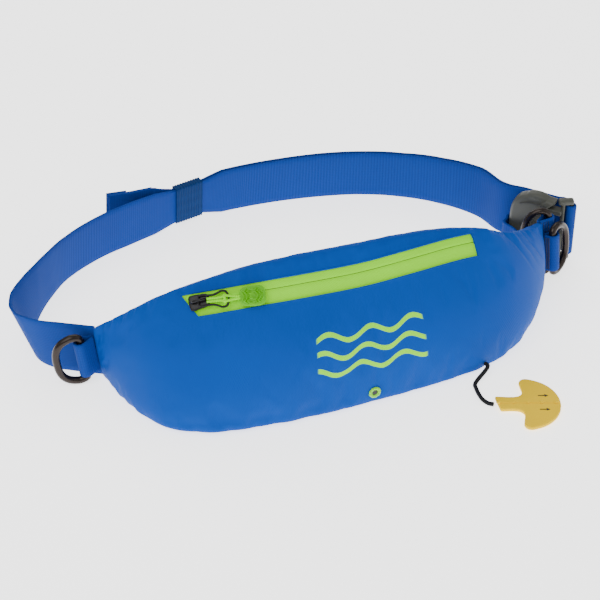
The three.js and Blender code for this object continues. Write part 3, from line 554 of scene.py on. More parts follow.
def pouchColumns():
    # Shares along the pouch, with a column on each end of the zip's window
    start, end, count = zipSettings["start"], zipSettings["end"], pouchSettings["columns"]
    inZip = round(count * (end - start))
    before = round(count * start)
    after = count - inZip - before
    columns = [start * i / before for i in range(before)]
    columns += [blendOf(start, end, i / inZip) for i in range(inZip)]
    columns += [blendOf(end, 1, i / after) for i in range(after + 1)]
    return columns, before, before + inZip


def makePouch():
    rows = pouchRows()
    columns, zipFrom, zipTo = pouchColumns()
    z = zipSettings

    def spot(u, v):
        place = columns[round(u * pouchSettings["columns"])]
        zone, share = rows[round(v * len(rows)) % len(rows)]
        # the window's ends slant, so the columns near them do too
        slantAt = {"below": share, "zip": 1 - share}.get(zone, 0)
        place += z["slant"] * slantAt * hump(place - z["start"], z["slantFade"])
        place += z["endSlant"] * slantAt * hump(place - z["end"], z["slantFade"])
        low, high = zipRise(place, z["bottom"]), zipRise(place, z["top"])
        rise = {
            "below": share * low, "zip": blendOf(low, high, share),
            "above": blendOf(high, 1, share), "back": 1 - share,
        }[zone]
        wrinkle = ripple(place, rise, zone == "back") * calm(place, zone, share)
        return (backPoint if zone == "back" else facePoint)(place, rise, wrinkle)

    uvSize = (pouchSettings["length"], pouchSettings["rowPitch"] * len(rows))
    pouch = addSheet("pouch_shell", pouchSettings["columns"], len(rows), spot, uvSize, closed=True)
    fillOut(pouch)
    openWindow(pouch, zipFrom / pouchSettings["columns"], zipTo / pouchSettings["columns"])
    addModifier(pouch, "SUBSURF", levels=1, render_levels=1, boundary_smooth="PRESERVE_CORNERS")
    addModifier(pouch, "SOLIDIFY", thickness=pouchSettings["cloth"], offset=-1)
    return finishPiece(pouch, "belt_pack", "cloth", ("pouch_cover",), smooth=60)


def calm(place, zone, share):
    # the ripples fade at the pouch's ends and round the zip's window, but not at the seam above it
    r = rippleSettings
    fade = min(place, 1 - place, r["endFade"]) / r["endFade"]
    if zone not in ("zip", "above"):
        return fade
    window = max(0, 1 - abs(place - r["windowMiddle"]) / r["windowReach"]) ** 0.2
    if zone == "above":
        window *= 1 - share * share
    return fade * (1 - r["windowCalm"] * window)


def openWindow(pouch, fromShare, toShare):
    # take out the faces of the zip's window, found by their place on the cloth
    editAll(pouch)
    bpy.ops.mesh.select_all(action="DESELECT")
    bpy.ops.object.mode_set(mode="OBJECT")
    length, pitch = pouchSettings["length"], pouchSettings["rowPitch"]
    low = pouchSettings["belowZip"] * pitch
    high = (pouchSettings["belowZip"] + pouchSettings["zipRows"]) * pitch
    layer = pouch.data.uv_layers.active.data
    for face in pouch.data.polygons:
        if face.loop_total != 4:
            continue
        middle = sum((Vector(layer[i].uv) for i in face.loop_indices), Vector((0, 0))) / 4
        face.select = fromShare * length < middle.x < toShare * length and low < middle.y < high
    bpy.ops.object.mode_set(mode="EDIT")
    bpy.ops.mesh.select_mode(type="FACE")
    bpy.ops.mesh.delete(type="FACE")
    bpy.ops.object.mode_set(mode="OBJECT")


clothSettings = {
    "pressure": 3.5, "stiffness": 12, "shrink": -0.012, "quality": 5, "frames": 18,
    "cap": 0.0035, "lowest": 0.0002, "seamHeld": 0.0008, "rowsHeld": 1.2, "endHeld": 0.012,
    "zipHeldFrom": 0.235, "zipHeldTo": 0.765,
}


def heldPoints(pouch):
    # the seams, the pouch's ends and the zip's window hold the cloth
    c, pitch = clothSettings, pouchSettings["rowPitch"]
    layer = pouch.data.uv_layers.active.data
    total = pitch * len(pouchRows())
    zipLow = pouchSettings["belowZip"]
    zipHigh = zipLow + pouchSettings["zipRows"]
    seamAt = (zipHigh + pouchSettings["aboveZip"]) * pitch
    held = {}
    for loop in pouch.data.loops:
        u, v = layer[loop.index].uv
        share = u / pouchSettings["length"]
        atSeam = min(abs(v - seamAt), v, total - v) < c["seamHeld"]
        inRows = (zipLow - c["rowsHeld"]) * pitch < v < (zipHigh + c["rowsHeld"]) * pitch
        atZip = inRows and c["zipHeldFrom"] < share < c["zipHeldTo"]
        atEnd = share < c["endHeld"] or share > 1 - c["endHeld"]
        held[loop.vertex_index] = atSeam or atZip or atEnd
    return [index for index, isHeld in held.items() if isHeld]


def fillOut(pouch):
    # the cloth swells between its seams and the zip
    before = [vertex.co.copy() for vertex in pouch.data.vertices]
    held = pouch.vertex_groups.new(name="held")
    held.add(heldPoints(pouch), 1, "REPLACE")
    cloth = pouch.modifiers.new("cloth", "CLOTH")
    cloth.settings.vertex_group_mass = "held"
    cloth.settings.use_pressure = True
    cloth.settings.uniform_pressure_force = clothSettings["pressure"]
    cloth.settings.effector_weights.gravity = 0
    cloth.settings.tension_stiffness = clothSettings["stiffness"]
    cloth.settings.compression_stiffness = clothSettings["stiffness"]
    cloth.settings.shrink_min = clothSettings["shrink"]
    cloth.settings.quality = clothSettings["quality"]
    scene = bpy.context.scene
    for number in range(1, clothSettings["frames"] + 1):
        scene.frame_set(number)
    shaped = pouch.evaluated_get(bpy.context.evaluated_depsgraph_get()).to_mesh()
    cap = clothSettings["cap"]
    after = []
    for old, vertex in zip(before, shaped.vertices):
        move = vertex.co - old
        after.append(old + move * min(1, cap / max(move.length, 1e-9)))
    pouch.modifiers.remove(cloth)
    scene.frame_set(1)
    for vertex, place in zip(pouch.data.vertices, after):
        vertex.co = (place.x, place.y, max(place.z, clothSettings["lowest"]))
    pouch.vertex_groups.remove(held)


# Belt and its tail
beltSettings = {
    "thickness": 1.8, "layerGap": 0.5, "width": 40, "reach": 190, "depth": 145, "lift": 6, "stepsPerRow": 6,
}
beltRows = [
    # x, y, lean x, lean y, lift, width
    (-0.865, 0.049, -0.1, 0.02, 0.0, 1), (-0.911, 0.086, -0.12, 0.03, 0.0, 1),
    (-0.958, 0.13, -0.2, 0.07, 0.0, 1), (-0.992, 0.19, -0.29, 0.15, 0.0, 1),
    (-1.002, 0.255, -0.3, 0.2, 0.0, 1), (-0.995, 0.345, -0.24, 0.15, 0.0, 1),
    (-0.968, 0.441, -0.13, 0.07, 0.0, 1), (-0.926, 0.538, -0.03, 0.0, 0.0, 1),
    (-0.874, 0.628, 0.02, -0.05, 0.0, 1), (-0.79, 0.741, 0.04, -0.12, 0.0, 1),
    (-0.642, 0.848, 0.03, -0.14, 0.0, 1), (-0.52, 0.898, 0.02, -0.14, 0.0, 1),
    (-0.41, 0.934, 0.01, -0.13, 0.02, 0.95), (-0.33, 0.958, 0.0, -0.1, 0.1, 0.77),
    (-0.268, 0.975, 0.0, -0.1, 0.12, 0.75), (-0.205, 0.99, 0.0, -0.12, 0.11, 0.77),
    (-0.13, 1.001, 0.0, -0.16, 0.01, 0.98), (-0.04, 1.003, 0.0, -0.17, 0.0, 1),
    (0.105, 0.988, 0.0, -0.16, 0.0, 1), (0.263, 0.952, -0.03, -0.14, 0.0, 1),
    (0.41, 0.897, -0.04, -0.14, 0.0, 1), (0.547, 0.807, -0.05, -0.12, 0.0, 1),
    (0.668, 0.669, -0.05, -0.06, 0.03, 1), (0.757, 0.483, 0.0, 0.0, 0.09, 1),
]
tailRows = [(12.2, 2.0, 1), (12.1, 3.0, 2), (11.4, 7.4, 2), (11.3, 8.2, 3), (10.75, 13.8, 3)]


def webbingRow(x, y, **extra):
    half = beltSettings["thickness"] / 2
    row = {"x": x, "y": y, "leanX": 0, "leanY": 0, "near": half, "far": half}
    return {**row, "lift": beltSettings["lift"], "width": beltSettings["width"], **extra}


def beltRow(index):
    at = min(int(index), len(beltRows) - 2)
    mixed = [blendOf(a, b, index - at) for a, b in zip(beltRows[at], beltRows[at + 1])]
    x, y, leanX, leanY, lift, width = mixed
    full = beltSettings["width"]
    return webbingRow(
        x * beltSettings["reach"], y * beltSettings["depth"],
        leanX=leanX * full, leanY=leanY * full, lift=lift * full, width=width * full,
    )


def movedOut(index, distance, **extra):
    row, last = beltRow(index), len(beltRows) - 1
    before, after = beltRow(max(index - 0.5, 0)), beltRow(min(index + 0.5, last))
    out = Vector((before["y"] - after["y"], after["x"] - before["x"])).normalized()
    return {**row, "x": row["x"] + out.x * distance, "y": row["y"] + out.y * distance, **extra}


# a webbing's section as side of the thickness and share of the width, up one face and down the other
webbingLevels = (0.0, 0.02, 0.12, 0.3, 0.5, 0.7, 0.88, 0.98, 1.0)
webbingFace = [(0.55 if level in (0, 1) else 1.0, level) for level in webbingLevels]
webbingProfile = webbingFace + [(-side, level) for side, level in reversed(webbingFace)]


def addBand(name, rows, stepsPerRow):
    # A band of webbing on edge that follows the rows
    feet = [Vector((row["x"], row["y"], 0)) for row in rows]
    spans = len(rows) - 1
    steps = spans * stepsPerRow
    stations = []
    for i in range(steps + 1):
        share = i / steps
        at = min(int(share * spans), spans - 1)
        mixed = {key: blendOf(rows[at][key], rows[at + 1][key], share * spans - at) for key in rows[0]}
        foot = alongCurve(feet, share)
        heading = curveHeading(feet, share)
        lean = Vector((mixed["leanX"], mixed["leanY"], 0))
        head = foot + lean
        foot.z = mixed["lift"]
        head.z = foot.z + math.sqrt(max(mixed["width"] ** 2 - lean.length_squared, 1))
        stations.append((foot, head, Vector((-heading.y, heading.x, 0)), mixed["near"], mixed["far"]))
    length = sum((stations[i + 1][0] - stations[i][0]).length for i in range(steps)) / 1000

    def spot(u, v):
        foot, head, left, near, far = stations[round(u * steps)]
        side, height = webbingProfile[round(v * len(webbingProfile)) % len(webbingProfile)]
        off = near * side if side > 0 else far * side
        return foot + (head - foot) * height + left * off

    return addSheet(name, steps, len(webbingProfile), spot, (length, 0.09), closed=True)


buckleSettings = {
    "mouth": (172.4, 8.4), "turn": -47.6, "length": 33, "width": 48, "thickness": 12, "bow": 16,
    "adjusterTurn": 30, "adjusterLength": 11.3, "endBar": 10, "endBarWidth": 2.6,
    "neckFrom": 3, "neckWidth": 2.4,
}


def swung(along, off, degrees):
    turn = turned(degrees)
    return (
        along * math.cos(turn) - off * math.sin(turn),
        along * math.sin(turn) + off * math.cos(turn),
    )


def inBuckle(along, off):
    x, y = swung(along, off, buckleSettings["turn"])
    return buckleSettings["mouth"][0] + x, buckleSettings["mouth"][1] + y


def inAdjuster(along, off):
    return inBuckle(*swung(along, off, buckleSettings["adjusterTurn"]))


def beltPath():
    b = beltSettings
    bottom, up, tangent, _, _, _ = pouchFrame(0)
    end = bottom - tangent * (fit + 0.9)
    rows = [webbingRow(end.x, end.y, leanX=up.x, leanY=up.y, lift=0)]
    rows += [beltRow(i) for i in range(len(beltRows))]
    length = buckleSettings["length"]
    strapOff = buckleSettings["thickness"] / 2 + b["thickness"] / 2 + 3 * fit
    pitch = b["thickness"] + b["layerGap"]
    lead = 0.27 * length
    rows.append(webbingRow(*inBuckle(-length - lead, strapOff - 2 * fit)))
    shares = [-0.82, -0.5, -0.06]
    rows += [webbingRow(*inBuckle(share * length, strapOff)) for share in shares]
    neckEnd = buckleSettings["neckFrom"] + buckleSettings["neckWidth"]
    rows.append(webbingRow(*inAdjuster(neckEnd + 0.8, 3.8)))
    wrap = buckleSettings["endBarWidth"] / 2 + 0.45 + b["thickness"] / 2
    for angle in (190, 230, 270, 310, 350, 30, 65):
        along, off = swung(wrap, 0, angle)
        rows.append(webbingRow(*inAdjuster(buckleSettings["endBar"] + along, off)))
    rows.append(webbingRow(*inAdjuster(buckleSettings["endBar"] - 3, strapOff + pitch - 1.4)))
    rows += [webbingRow(*inBuckle(share * length, strapOff + pitch)) for share in reversed(shares)]
    rows.append(webbingRow(*inBuckle(-length - lead, strapOff + pitch - 2 * fit)))
    rows += [movedOut(i, pitch) for i in range(len(beltRows) - 1, 12, -1)]
    return rows, pitch


def makeBelt():
    rows, pitch = beltPath()
    rows += [movedOut(at, pitch + off, width=40, lift=0) for at, off, _ in tailRows]
    belt = addBand("belt_webbing", rows, beltSettings["stepsPerRow"])
    finishPiece(belt, "belt_pack", "webbing", ("waist_strap",))
    # the tail's end is folded over twice and sewn
    thick = beltSettings["thickness"]
    for layer, first in ((1, 1), (2, 3)):
        hem = [
            movedOut(at, pitch + off + layer * (thick + 0.05), width=39.4, lift=0.3)
            for at, off, _ in tailRows[first:]
        ]
        piece = addBand("tail_hem_%d" % layer, hem, 8)
        finishPiece(piece, "belt_pack", "webbing")


def makeKeeper():
    pitch = beltSettings["thickness"] + beltSettings["layerGap"]
    middle = movedOut(14, pitch / 2)
    before, after = movedOut(13.15, pitch / 2), movedOut(14.85, pitch / 2)
    start, end = Vector((before["x"], before["y"], 0)), Vector((after["x"], after["y"], 0))
    heading = (end - start).normalized()
    left = Vector((-heading.y, heading.x, 0))
    foot = Vector((middle["x"], middle["y"], middle["lift"]))
    lean = Vector((middle["leanX"], middle["leanY"], 0))
    length = (end - start).length
    halfThick, wall, ribs = pitch / 2 + beltSettings["thickness"] / 2 + fit + 0.15, 1.1, 10
    high = math.sqrt(middle["width"] ** 2 - lean.length_squared)

    def spot(u, v):
        # round the two layers: an oblong with round corners
        angle = 2 * math.pi * v
        power = 0.16
        side = math.copysign(abs(math.cos(angle)) ** power, math.cos(angle))
        rise = math.copysign(abs(math.sin(angle)) ** power, math.sin(angle))
        swell = wall * (0.82 + 0.18 * math.cos(2 * math.pi * ribs * u))
        level = high / 2 + rise * (high / 2 + fit + swell)
        middle = foot + lean * (level / high) + Vector((0, 0, level))
        return middle + heading * ((u - 0.5) * length) + left * (side * (halfThick + swell))

    keeper = addSheet("keeper_band", 60, 72, spot, (length / 1000, 0.09))
    editAll(keeper)
    bpy.ops.mesh.remove_doubles(threshold=mergeDistance)
    bpy.ops.mesh.normals_make_consistent(inside=False)
    bpy.ops.object.mode_set(mode="OBJECT")
    addModifier(keeper, "SOLIDIFY", thickness=0.0008, offset=-1)
    finishPiece(keeper, "belt_pack", "elastic", ("strap_keeper",))


# Rings and their tabs
tabSettings = {"thickness": 1.5, "play": 0.45, "wrapFrom": 110, "wrapStep": 27.5, "wrapPoints": 9}
narrowRing = {"wire": 5, "inside": 30, "depth": 17, "width": 27}
wideRing = {"wire": 4.6, "inside": 44, "depth": 17, "width": 40}


def ringSpecs():
    left, right = pouchFrame(0), pouchFrame(1)
    corner = pouchSettings["seamHalf"] + pouchSettings["endPuff"] + 2 * fit
    leftSpot = left[0] + left[3] * corner - left[2] * 0.5
    rightSpot = right[0] + right[3] * corner - right[2] * 1.2
    wideSpot = right[0] + right[2] * 4 * fit - right[3] * 0.3
    return [
        {**narrowRing, "name": "left", "nodes": ("left_ring_tab", "left_d_ring"), "body": "left_ring",
         "end": left, "spot": leftSpot, "barAt": 8.5, "rise": 7.5, "yaw": 188, "swing": -14},
        {**narrowRing, "name": "right", "nodes": ("right_ring_tab", "right_d_ring"), "body": "right_ring",
         "end": right, "spot": rightSpot, "barAt": 5.6, "rise": 4.5, "yaw": -22, "swing": 54},
        {**wideRing, "name": "wide", "nodes": ("right_wide_tab", "right_wide_ring"), "body": "wide_ring",
         "end": right, "spot": wideSpot, "barAt": 9, "rise": 0.5, "yaw": 20, "swing": 138},
    ]


def ringAxes(spec):
    yaw = turned(spec["yaw"])
    up = spec["end"][1].normalized()
    side = up.cross(Vector((math.cos(yaw), math.sin(yaw), 0))).normalized()
    return side.cross(up), side, up


def tabPath(spec):
    # from its root on the pouch, round the ring's bar, and back
    t = tabSettings
    radius = spec["wire"] / 2 + t["play"] + t["thickness"] / 2
    root, bar = t["thickness"] / 2 + 0.2, spec["barAt"]
    points = [(0, root), (bar * 0.45, (root + radius) / 2)]
    for i in range(t["wrapPoints"]):
        x, y = swung(radius, 0, t["wrapFrom"] - i * t["wrapStep"])
        points.append((bar + x, y))
    return points + [(bar * 0.45, -(root + radius) / 2), (0, -root)]


def makeTab(spec):
    out, side, up = ringAxes(spec)
    flat = [Vector((x, y, 0)) for x, y in tabPath(spec)]
    steps = (len(flat) - 1) * 5
    half, width = tabSettings["thickness"] / 2, spec["width"]

    def spot(u, v):
        point, heading = alongCurve(flat, u), curveHeading(flat, u)
        way, height = webbingProfile[round(v * len(webbingProfile)) % len(webbingProfile)]
        x, y = point.x - heading.y * half * way, point.y + heading.x * half * way
        return spec["spot"] + out * x + side * y + up * (spec["rise"] + height * width)

    name, sides = spec["name"] + "_tab_webbing", len(webbingProfile)
    tab = addSheet(name, steps, sides, spot, (0.04, 0.065), closed=True)
    finishPiece(tab, "belt_pack", "tab", spec["nodes"][:1])
    if spec["name"] != "left":
        makeBartacks(spec, out, side, up)


bartackSettings = {
    "shares": (0.985, 0.95, 0.915, 0.88), "stitches": 28, "inset": 1.2, "dip": 0.22, "thread": 0.36,
}


def makeBartacks(spec, out, side, up):
    # rows of dark stitches down the tab, beside the pouch's end
    b = bartackSettings
    flat = [Vector((x, y, 0)) for x, y in tabPath(spec)]
    low, high = spec["rise"] + b["inset"], spec["rise"] + spec["width"] - b["inset"]
    for row, share in enumerate(b["shares"]):
        point, heading = alongCurve(flat, share), curveHeading(flat, share)
        outward = Vector((-heading.y, heading.x, 0)) * (tabSettings["thickness"] / 2 + 0.1)
        place = point + outward if outward.y < 0 else point - outward
        foot = spec["spot"] + out * place.x
        path = []
        for i in range(b["stitches"] + 1):
            height = blendOf(low, high, i / b["stitches"])
            path.append(foot + side * (place.y + b["dip"] * (i % 2)) + up * height)
        thread = addTube("%s_stitch_%d" % (spec["name"], row), path, b["thread"], 6)
        finishPiece(thread, "belt_pack", "darkThread")


ringRoundness = 2 / 2.7


def makeRing(spec):
    out, side, up = ringAxes(spec)
    swing = turned(spec["swing"])
    way = out * math.cos(swing) + side * math.sin(swing)
    centre = spec["spot"] + out * spec["barAt"] + up * (spec["rise"] + spec["width"] / 2)
    half = (spec["inside"] + spec["wire"]) / 2
    corners = [(0, share * half) for share in (-0.9, -0.45, 0, 0.45, 0.9)]
    for i in range(25):
        turn = turned(80 - i * 160 / 24)
        reach = spec["depth"] * math.cos(turn) ** ringRoundness
        corners.append((reach, half * signedPower(math.sin(turn), ringRoundness)))
    path = closedCurve([centre + way * x + up * z for x, z in corners], 3)
    name, radius = spec["name"] + "_ring_wire", spec["wire"] / 2
    ring = addTube(name, path, radius, 20, looped=True, flatAxis=way.cross(up))
    finishPiece(ring, spec["body"], "ring", spec["nodes"][1:])


# Jerk cord and handle
cordSettings = {"width": 2.8, "place": 0.705, "sides": 12}
handleSettings = {
    "length": 41.5, "head": 23.5, "neck": 12.8, "thickness": 3.4, "turn": -21,
    "root": (0.433 * 156, -88 - 0.728 * 41.5), "ridge": 0.75, "nubs": 5, "nub": 0.0013,
    "arrowAt": 27.5, "arrowOff": 6.6,
}
cordRoute = [(-0.08, 0.547), (-0.111, 0.439), (-0.13, 0.294), (-0.125, 0.164), (-0.082, 0.063)]


def cordPoints():
    h = handleSettings
    leave = facePoint(cordSettings["place"], 0.04, fit)
    rise = leave + faceAxes(cordSettings["place"], 0.04)[2] * cordSettings["width"]
    turn = turned(h["turn"])
    along = Vector((math.cos(turn), math.sin(turn), 0))
    stop = Vector((*h["root"], h["thickness"] / 2)) - along
    laid = [
        Vector((h["root"][0] + x * h["length"], h["root"][1] + y * h["length"], cordSettings["width"] * 0.53))
        for x, y in cordRoute
    ]
    points = [leave, rise, *laid, stop]
    return smoothPath(points, 36)


def makeCord():
    path = cordPoints()
    cord = addTube("pull_cord", path, cordSettings["width"] / 2, cordSettings["sides"])
    finishPiece(cord, "belt_pack", "cord", ("jerk_cord",))
    return cord, path


def handleOutline():
    h = handleSettings
    neck, head = h["neck"] / 2, h["head"]
    centre = h["length"] - head
    upper = [(0, neck), (centre - 6, neck - 0.4), (centre - 2.4, neck + 0.6), (centre - 0.4, neck + 3.6)]
    upper += [(centre - 1.3, head - 6), (centre - 1.4, head - 3)]
    upper += [(centre + 0.4, head - 0.7), (centre + 3.2, head - 0.05)]
    for angle in (72, 60, 48, 36, 24, 12, 0):
        x, y = swung(head, 0, angle)
        upper.append((centre + x, y))
    return upper + [(x, -y) for x, y in reversed(upper[:-1])]


def makeHandle():
    h = handleSettings
    turn = turned(h["turn"])
    along, across = Vector((math.cos(turn), math.sin(turn), 0)), Vector((-math.sin(turn), math.cos(turn), 0))
    root = Vector((*h["root"], 0))
    corners = [Vector((x, y, 0)) for x, y in handleOutline()]
    count = 120
    deselectAll()
    bpy.ops.mesh.primitive_circle_add(vertices=count, radius=1, fill_type="NGON")
    handle = bpy.context.object
    handle.name = handle.data.name = "pull_handle"
    for i, vertex in enumerate(handle.data.vertices):
        share = i / count
        point = alongCurve(corners, share)
        vertex.co = inFrame(root + along * point.x + across * point.y + Vector((0, 0, 0.35)))
    editAll(handle)
    bpy.ops.mesh.extrude_region_move(TRANSFORM_OT_translate={"value": (0, 0, (h["thickness"] - 0.45) / 1000)})
    bpy.ops.mesh.select_all(action="SELECT")
    bpy.ops.mesh.normals_make_consistent(inside=False)
    bpy.ops.object.mode_set(mode="OBJECT")
    addModifier(handle, "BEVEL", width=0.0011, segments=4, limit_method="ANGLE", angle_limit=turned(50))
    finishPiece(handle, "belt_pack", "handle", ("jerk_handle",), smooth=35)
    parts = [handle]
    # the moulded seam down its middle, and its nubs
    top = h["thickness"] - 0.1
    path = [root + along * blendOf(0.4, h["length"] - 1.2, i / 40) + Vector((0, 0, top)) for i in range(41)]

    def ridgeRadius(u):
        return h["ridge"] * (0.55 + 0.45 * math.sin(math.pi * u) ** 0.3)

    ridge = addTube("handle_ridge", path, ridgeRadius, 12)
    parts.append(finishPiece(ridge, "belt_pack", "handle"))
    for i in range(h["nubs"]):
        deselectAll()
        reach = blendOf(2.5, h["length"] - 3.2, i / (h["nubs"] - 1))
        spot = inFrame(root + along * reach + Vector((0, 0, top + 0.25)))
        bpy.ops.mesh.primitive_uv_sphere_add(segments=16, ring_count=10, radius=h["nub"], location=spot)
        nub = bpy.context.object
        nub.name = nub.data.name = "handle_nub_%d" % i
        nub.scale = (1, 1, 0.7)
        parts.append(finishPiece(nub, "belt_pack", "handle"))
    for side in (-1, 1):
        parts.append(makeArrow(root, along, across, side, top))
    return parts


def makeArrow(root, along, across, side, top):
    # a printed arrow that points away from the cord
    deselectAll()
    bpy.ops.mesh.primitive_circle_add(vertices=7, radius=1, fill_type="NGON")
    arrow = bpy.context.object
    arrow.name = arrow.data.name = "handle_arrow_%s" % ("a" if side < 0 else "b")
    outline = [(0, 0.35), (4.2, 0.35), (4.2, 1.3), (6.6, 0), (4.2, -1.3), (4.2, -0.35), (0, -0.35)]
    h = handleSettings
    foot = root + along * h["arrowAt"] + across * (side * h["arrowOff"]) + Vector((0, 0, top + 0.12))
    for vertex, (x, y) in zip(arrow.data.vertices, outline):
        vertex.co = inFrame(foot + along * x + across * y)
    addModifier(arrow, "SOLIDIFY", thickness=0.00012, offset=0)
    return finishPiece(arrow, "belt_pack", "ink")


# Zip
def zipSpot(place, fromTop, off):
    return facePoint(place, zipRise(place, fromTop), off)


def makeZip():
    # two smooth tapes that meet in a dark line of painted shade
    z = zipSettings
    halves = (("upper", z["top"] - 1.6, z["split"] - 0.16), ("lower", z["split"] + 0.16, z["bottom"] + 1.6))
    for name, high, low in halves:
        def spot(u, v, high=high, low=low):
            fromTop = blendOf(low, high, v)
            share = (fromTop - z["top"]) / (z["bottom"] - z["top"])
            start = z["start"] + z["slant"] * share - z["overlap"]
            place = blendOf(start, z["end"] + z["endSlant"] * share + z["overlap"], u)
            nearSplit = math.exp(-((fromTop - z["split"]) / 0.9) ** 2)
            sway = 0.12 * noise.noise(Vector((u * 22, v * 2, high)))
            return zipSpot(place, fromTop, -z["depth"] - 0.55 - 0.35 * nearSplit + sway)

        tape = addSheet("zip_%s_cloth" % name, 160, 14, spot, (0.2, 0.01))
        addModifier(tape, "SOLIDIFY", thickness=z["tape"], offset=-1)
        finishPiece(tape, "belt_pack", "tape", ("zip_tape_%s" % name,))
    # the dark line at the split is painted shade in the slit between the tapes
    gap = [zipSpot(blendOf(z["start"] + 0.02, z["end"], i / 120), z["split"], -2.1) for i in range(121)]
    line = addTube("zip_split_line", gap, 0.6, 6)
    finishPiece(line, "belt_pack", "paintedShade")
    makeWelts()


sliderSettings = {
    "place": 0.297, "length": 13, "width": 9.6, "bridge": 0.85, "eye": 3.55, "wire": 0.7, "cord": 0.85,
    "tabStart": 25.2, "tabLength": 16, "tabHalf": 6.4, "tabThick": 1.3, "reach": 41, "spread": 1.12,
    "ridgeHigh": 0.8, "ridgePitch": 2.1,
}
bridgeArch = [
    # along the slider, height
    (-4.4, 1.6), (-4.2, 3.6), (-3.2, 5.2), (-1.4, 5.8), (1.2, 5.8), (3, 5.3), (4, 3.8), (4.3, 1.6),
]
wireHalf = [
    # along the puller, across
    (0, 2.4), (1.1, 3.2), (5, 3.1), (9, 3.0), (12, 3.9), (14.5, 5.0), (17, 4.5), (18.3, 2.4),
]
strandPoints = [
    # along the puller, across, height
    (5.2, 0.95, 0), (10, 0.9, 0.1), (14, 1.0, 0.5), (16.6, 1.7, 1.0),
    (19.2, 1.3, 0.5), (22, 0.8, 0), (27.5, 0.6, 0),
]


def pullerFrames():
    q = sliderSettings
    rise = zipRise(q["place"], zipSettings["split"])
    right, up, out = faceAxes(q["place"], rise)
    seat = facePoint(q["place"], rise, fit)
    eye = seat + out * q["eye"]
    step = q["place"] + q["reach"] / (2 * pouchSettings["halfLength"] * q["spread"])
    end = facePoint(step, zipRise(step, zipSettings["split"] + 2), 4.8)
    along = (end - eye).normalized()
    across = out.cross(along).normalized()

    def onSlider(x, y, z):
        return seat + right * x + up * y + out * z

    def onPuller(x, y, z):
        return eye + along * x + across * y + along.cross(across) * z

    return onSlider, onPuller


def signedPower(value, power):
    return math.copysign(abs(value) ** power, value)


def addPad(name, columns, sides, place, size, power=0.6):
    # A closed pillow: place(x, y, z) puts its local shares, each from -1 to 1, in the layout
    def spot(u, v):
        lengthwise = -math.cos(math.pi * u)
        girth = math.sin(math.pi * u) ** power
        angle = 2 * math.pi * v
        y = signedPower(math.cos(angle), power) * girth
        z = signedPower(math.sin(angle), power) * girth
        return place(signedPower(lengthwise, power) * size[0], y * size[1], z * size[2])

    return addSheet(name, columns, sides, spot, (0.02, 0.02), closed=True)


def makeSlider():
    q = sliderSettings
    onSlider, onPuller = pullerFrames()

    def body(x, y, z):
        # wider towards the closed end, as a slider is
        return onSlider(x, y * (1 - 0.02 * (x + 2)), z + 1.15)

    plate = addPad("slider_body", 32, 32, body, (q["length"] / 2, q["width"] / 2, 1.15), 0.42)
    finishPiece(plate, "belt_pack", "slider", ("zip_slider",))
    arch = smoothPath([onSlider(x, 0, z) for x, z in bridgeArch], 28)
    bridge = addTube("slider_bridge", arch, q["bridge"], 12)
    finishPiece(bridge, "belt_pack", "slider")
    loop = [(0, 0)] + wireHalf + [(18.7, 0)] + [(x, -y) for x, y in reversed(wireHalf)]
    path = closedCurve([onPuller(x, y, 0) for x, y in loop], 4)
    wire = addTube("puller_wire", path, q["wire"], 10, looped=True)
    finishPiece(wire, "zip_puller", "slider", ("zip_puller_loop",))
    for number, side in enumerate((-1, 1)):
        path = smoothPath([onPuller(x, y * side, z) for x, y, z in strandPoints], 36)
        cord = addTube("puller_cord_%d" % number, path, q["cord"], 10)
        finishPiece(cord, "zip_puller", "limeCord")
    turns = [2 * math.pi * i / 24 for i in range(24)]
    path = [onPuller(16.2, 2.6 * math.cos(turn), 1.7 * math.sin(turn)) for turn in turns]
    knot = addTube("puller_knot", path, 0.8, 10, looped=True)
    finishPiece(knot, "zip_puller", "limeCord")
    makePullTab(onPuller)


def makePullTab(onPuller):
    q = sliderSettings

    def place(x, y, z):
        # a shell that is blunt by the cord and round at its far end, with zigzag ridges
        share = x / q["tabLength"] * 2
        y *= 1 - 0.1 * share * share + 0.05 * share
        zigzag = abs((y * 0.33 + 50) % 1 - 0.5) * 3.2
        ridge = math.sin((x + zigzag) * 2 * math.pi / q["ridgePitch"])
        fade = max(0, 1 - (x * x / 62 + y * y / 34)) ** 0.5
        relief = q["ridgeHigh"] * ridge * fade if z > 0 else 0
        return onPuller(q["tabStart"] + q["tabLength"] / 2 + x, y, z + relief)

    tab = addPad("pull_tab_shell", 90, 96, place, (q["tabLength"] / 2, q["tabHalf"], q["tabThick"]), 0.5)
    finishPiece(tab, "zip_puller", "rubber", ("zip_pull_tab",), smooth=60)


def closedCurve(points, steps):
    path = []
    for i in range(len(points) * steps):
        whole, part = divmod(i, steps)
        four = [points[(whole + k) % len(points)] for k in (-1, 0, 1, 2)]
        path.append(alongCurve(four, (1 + part / steps) / 3))
    return path


eyeletSettings = {"place": 0.538, "rise": 0.08, "outer": 4.2, "inner": 1.75, "high": 1.05, "crimps": 9}


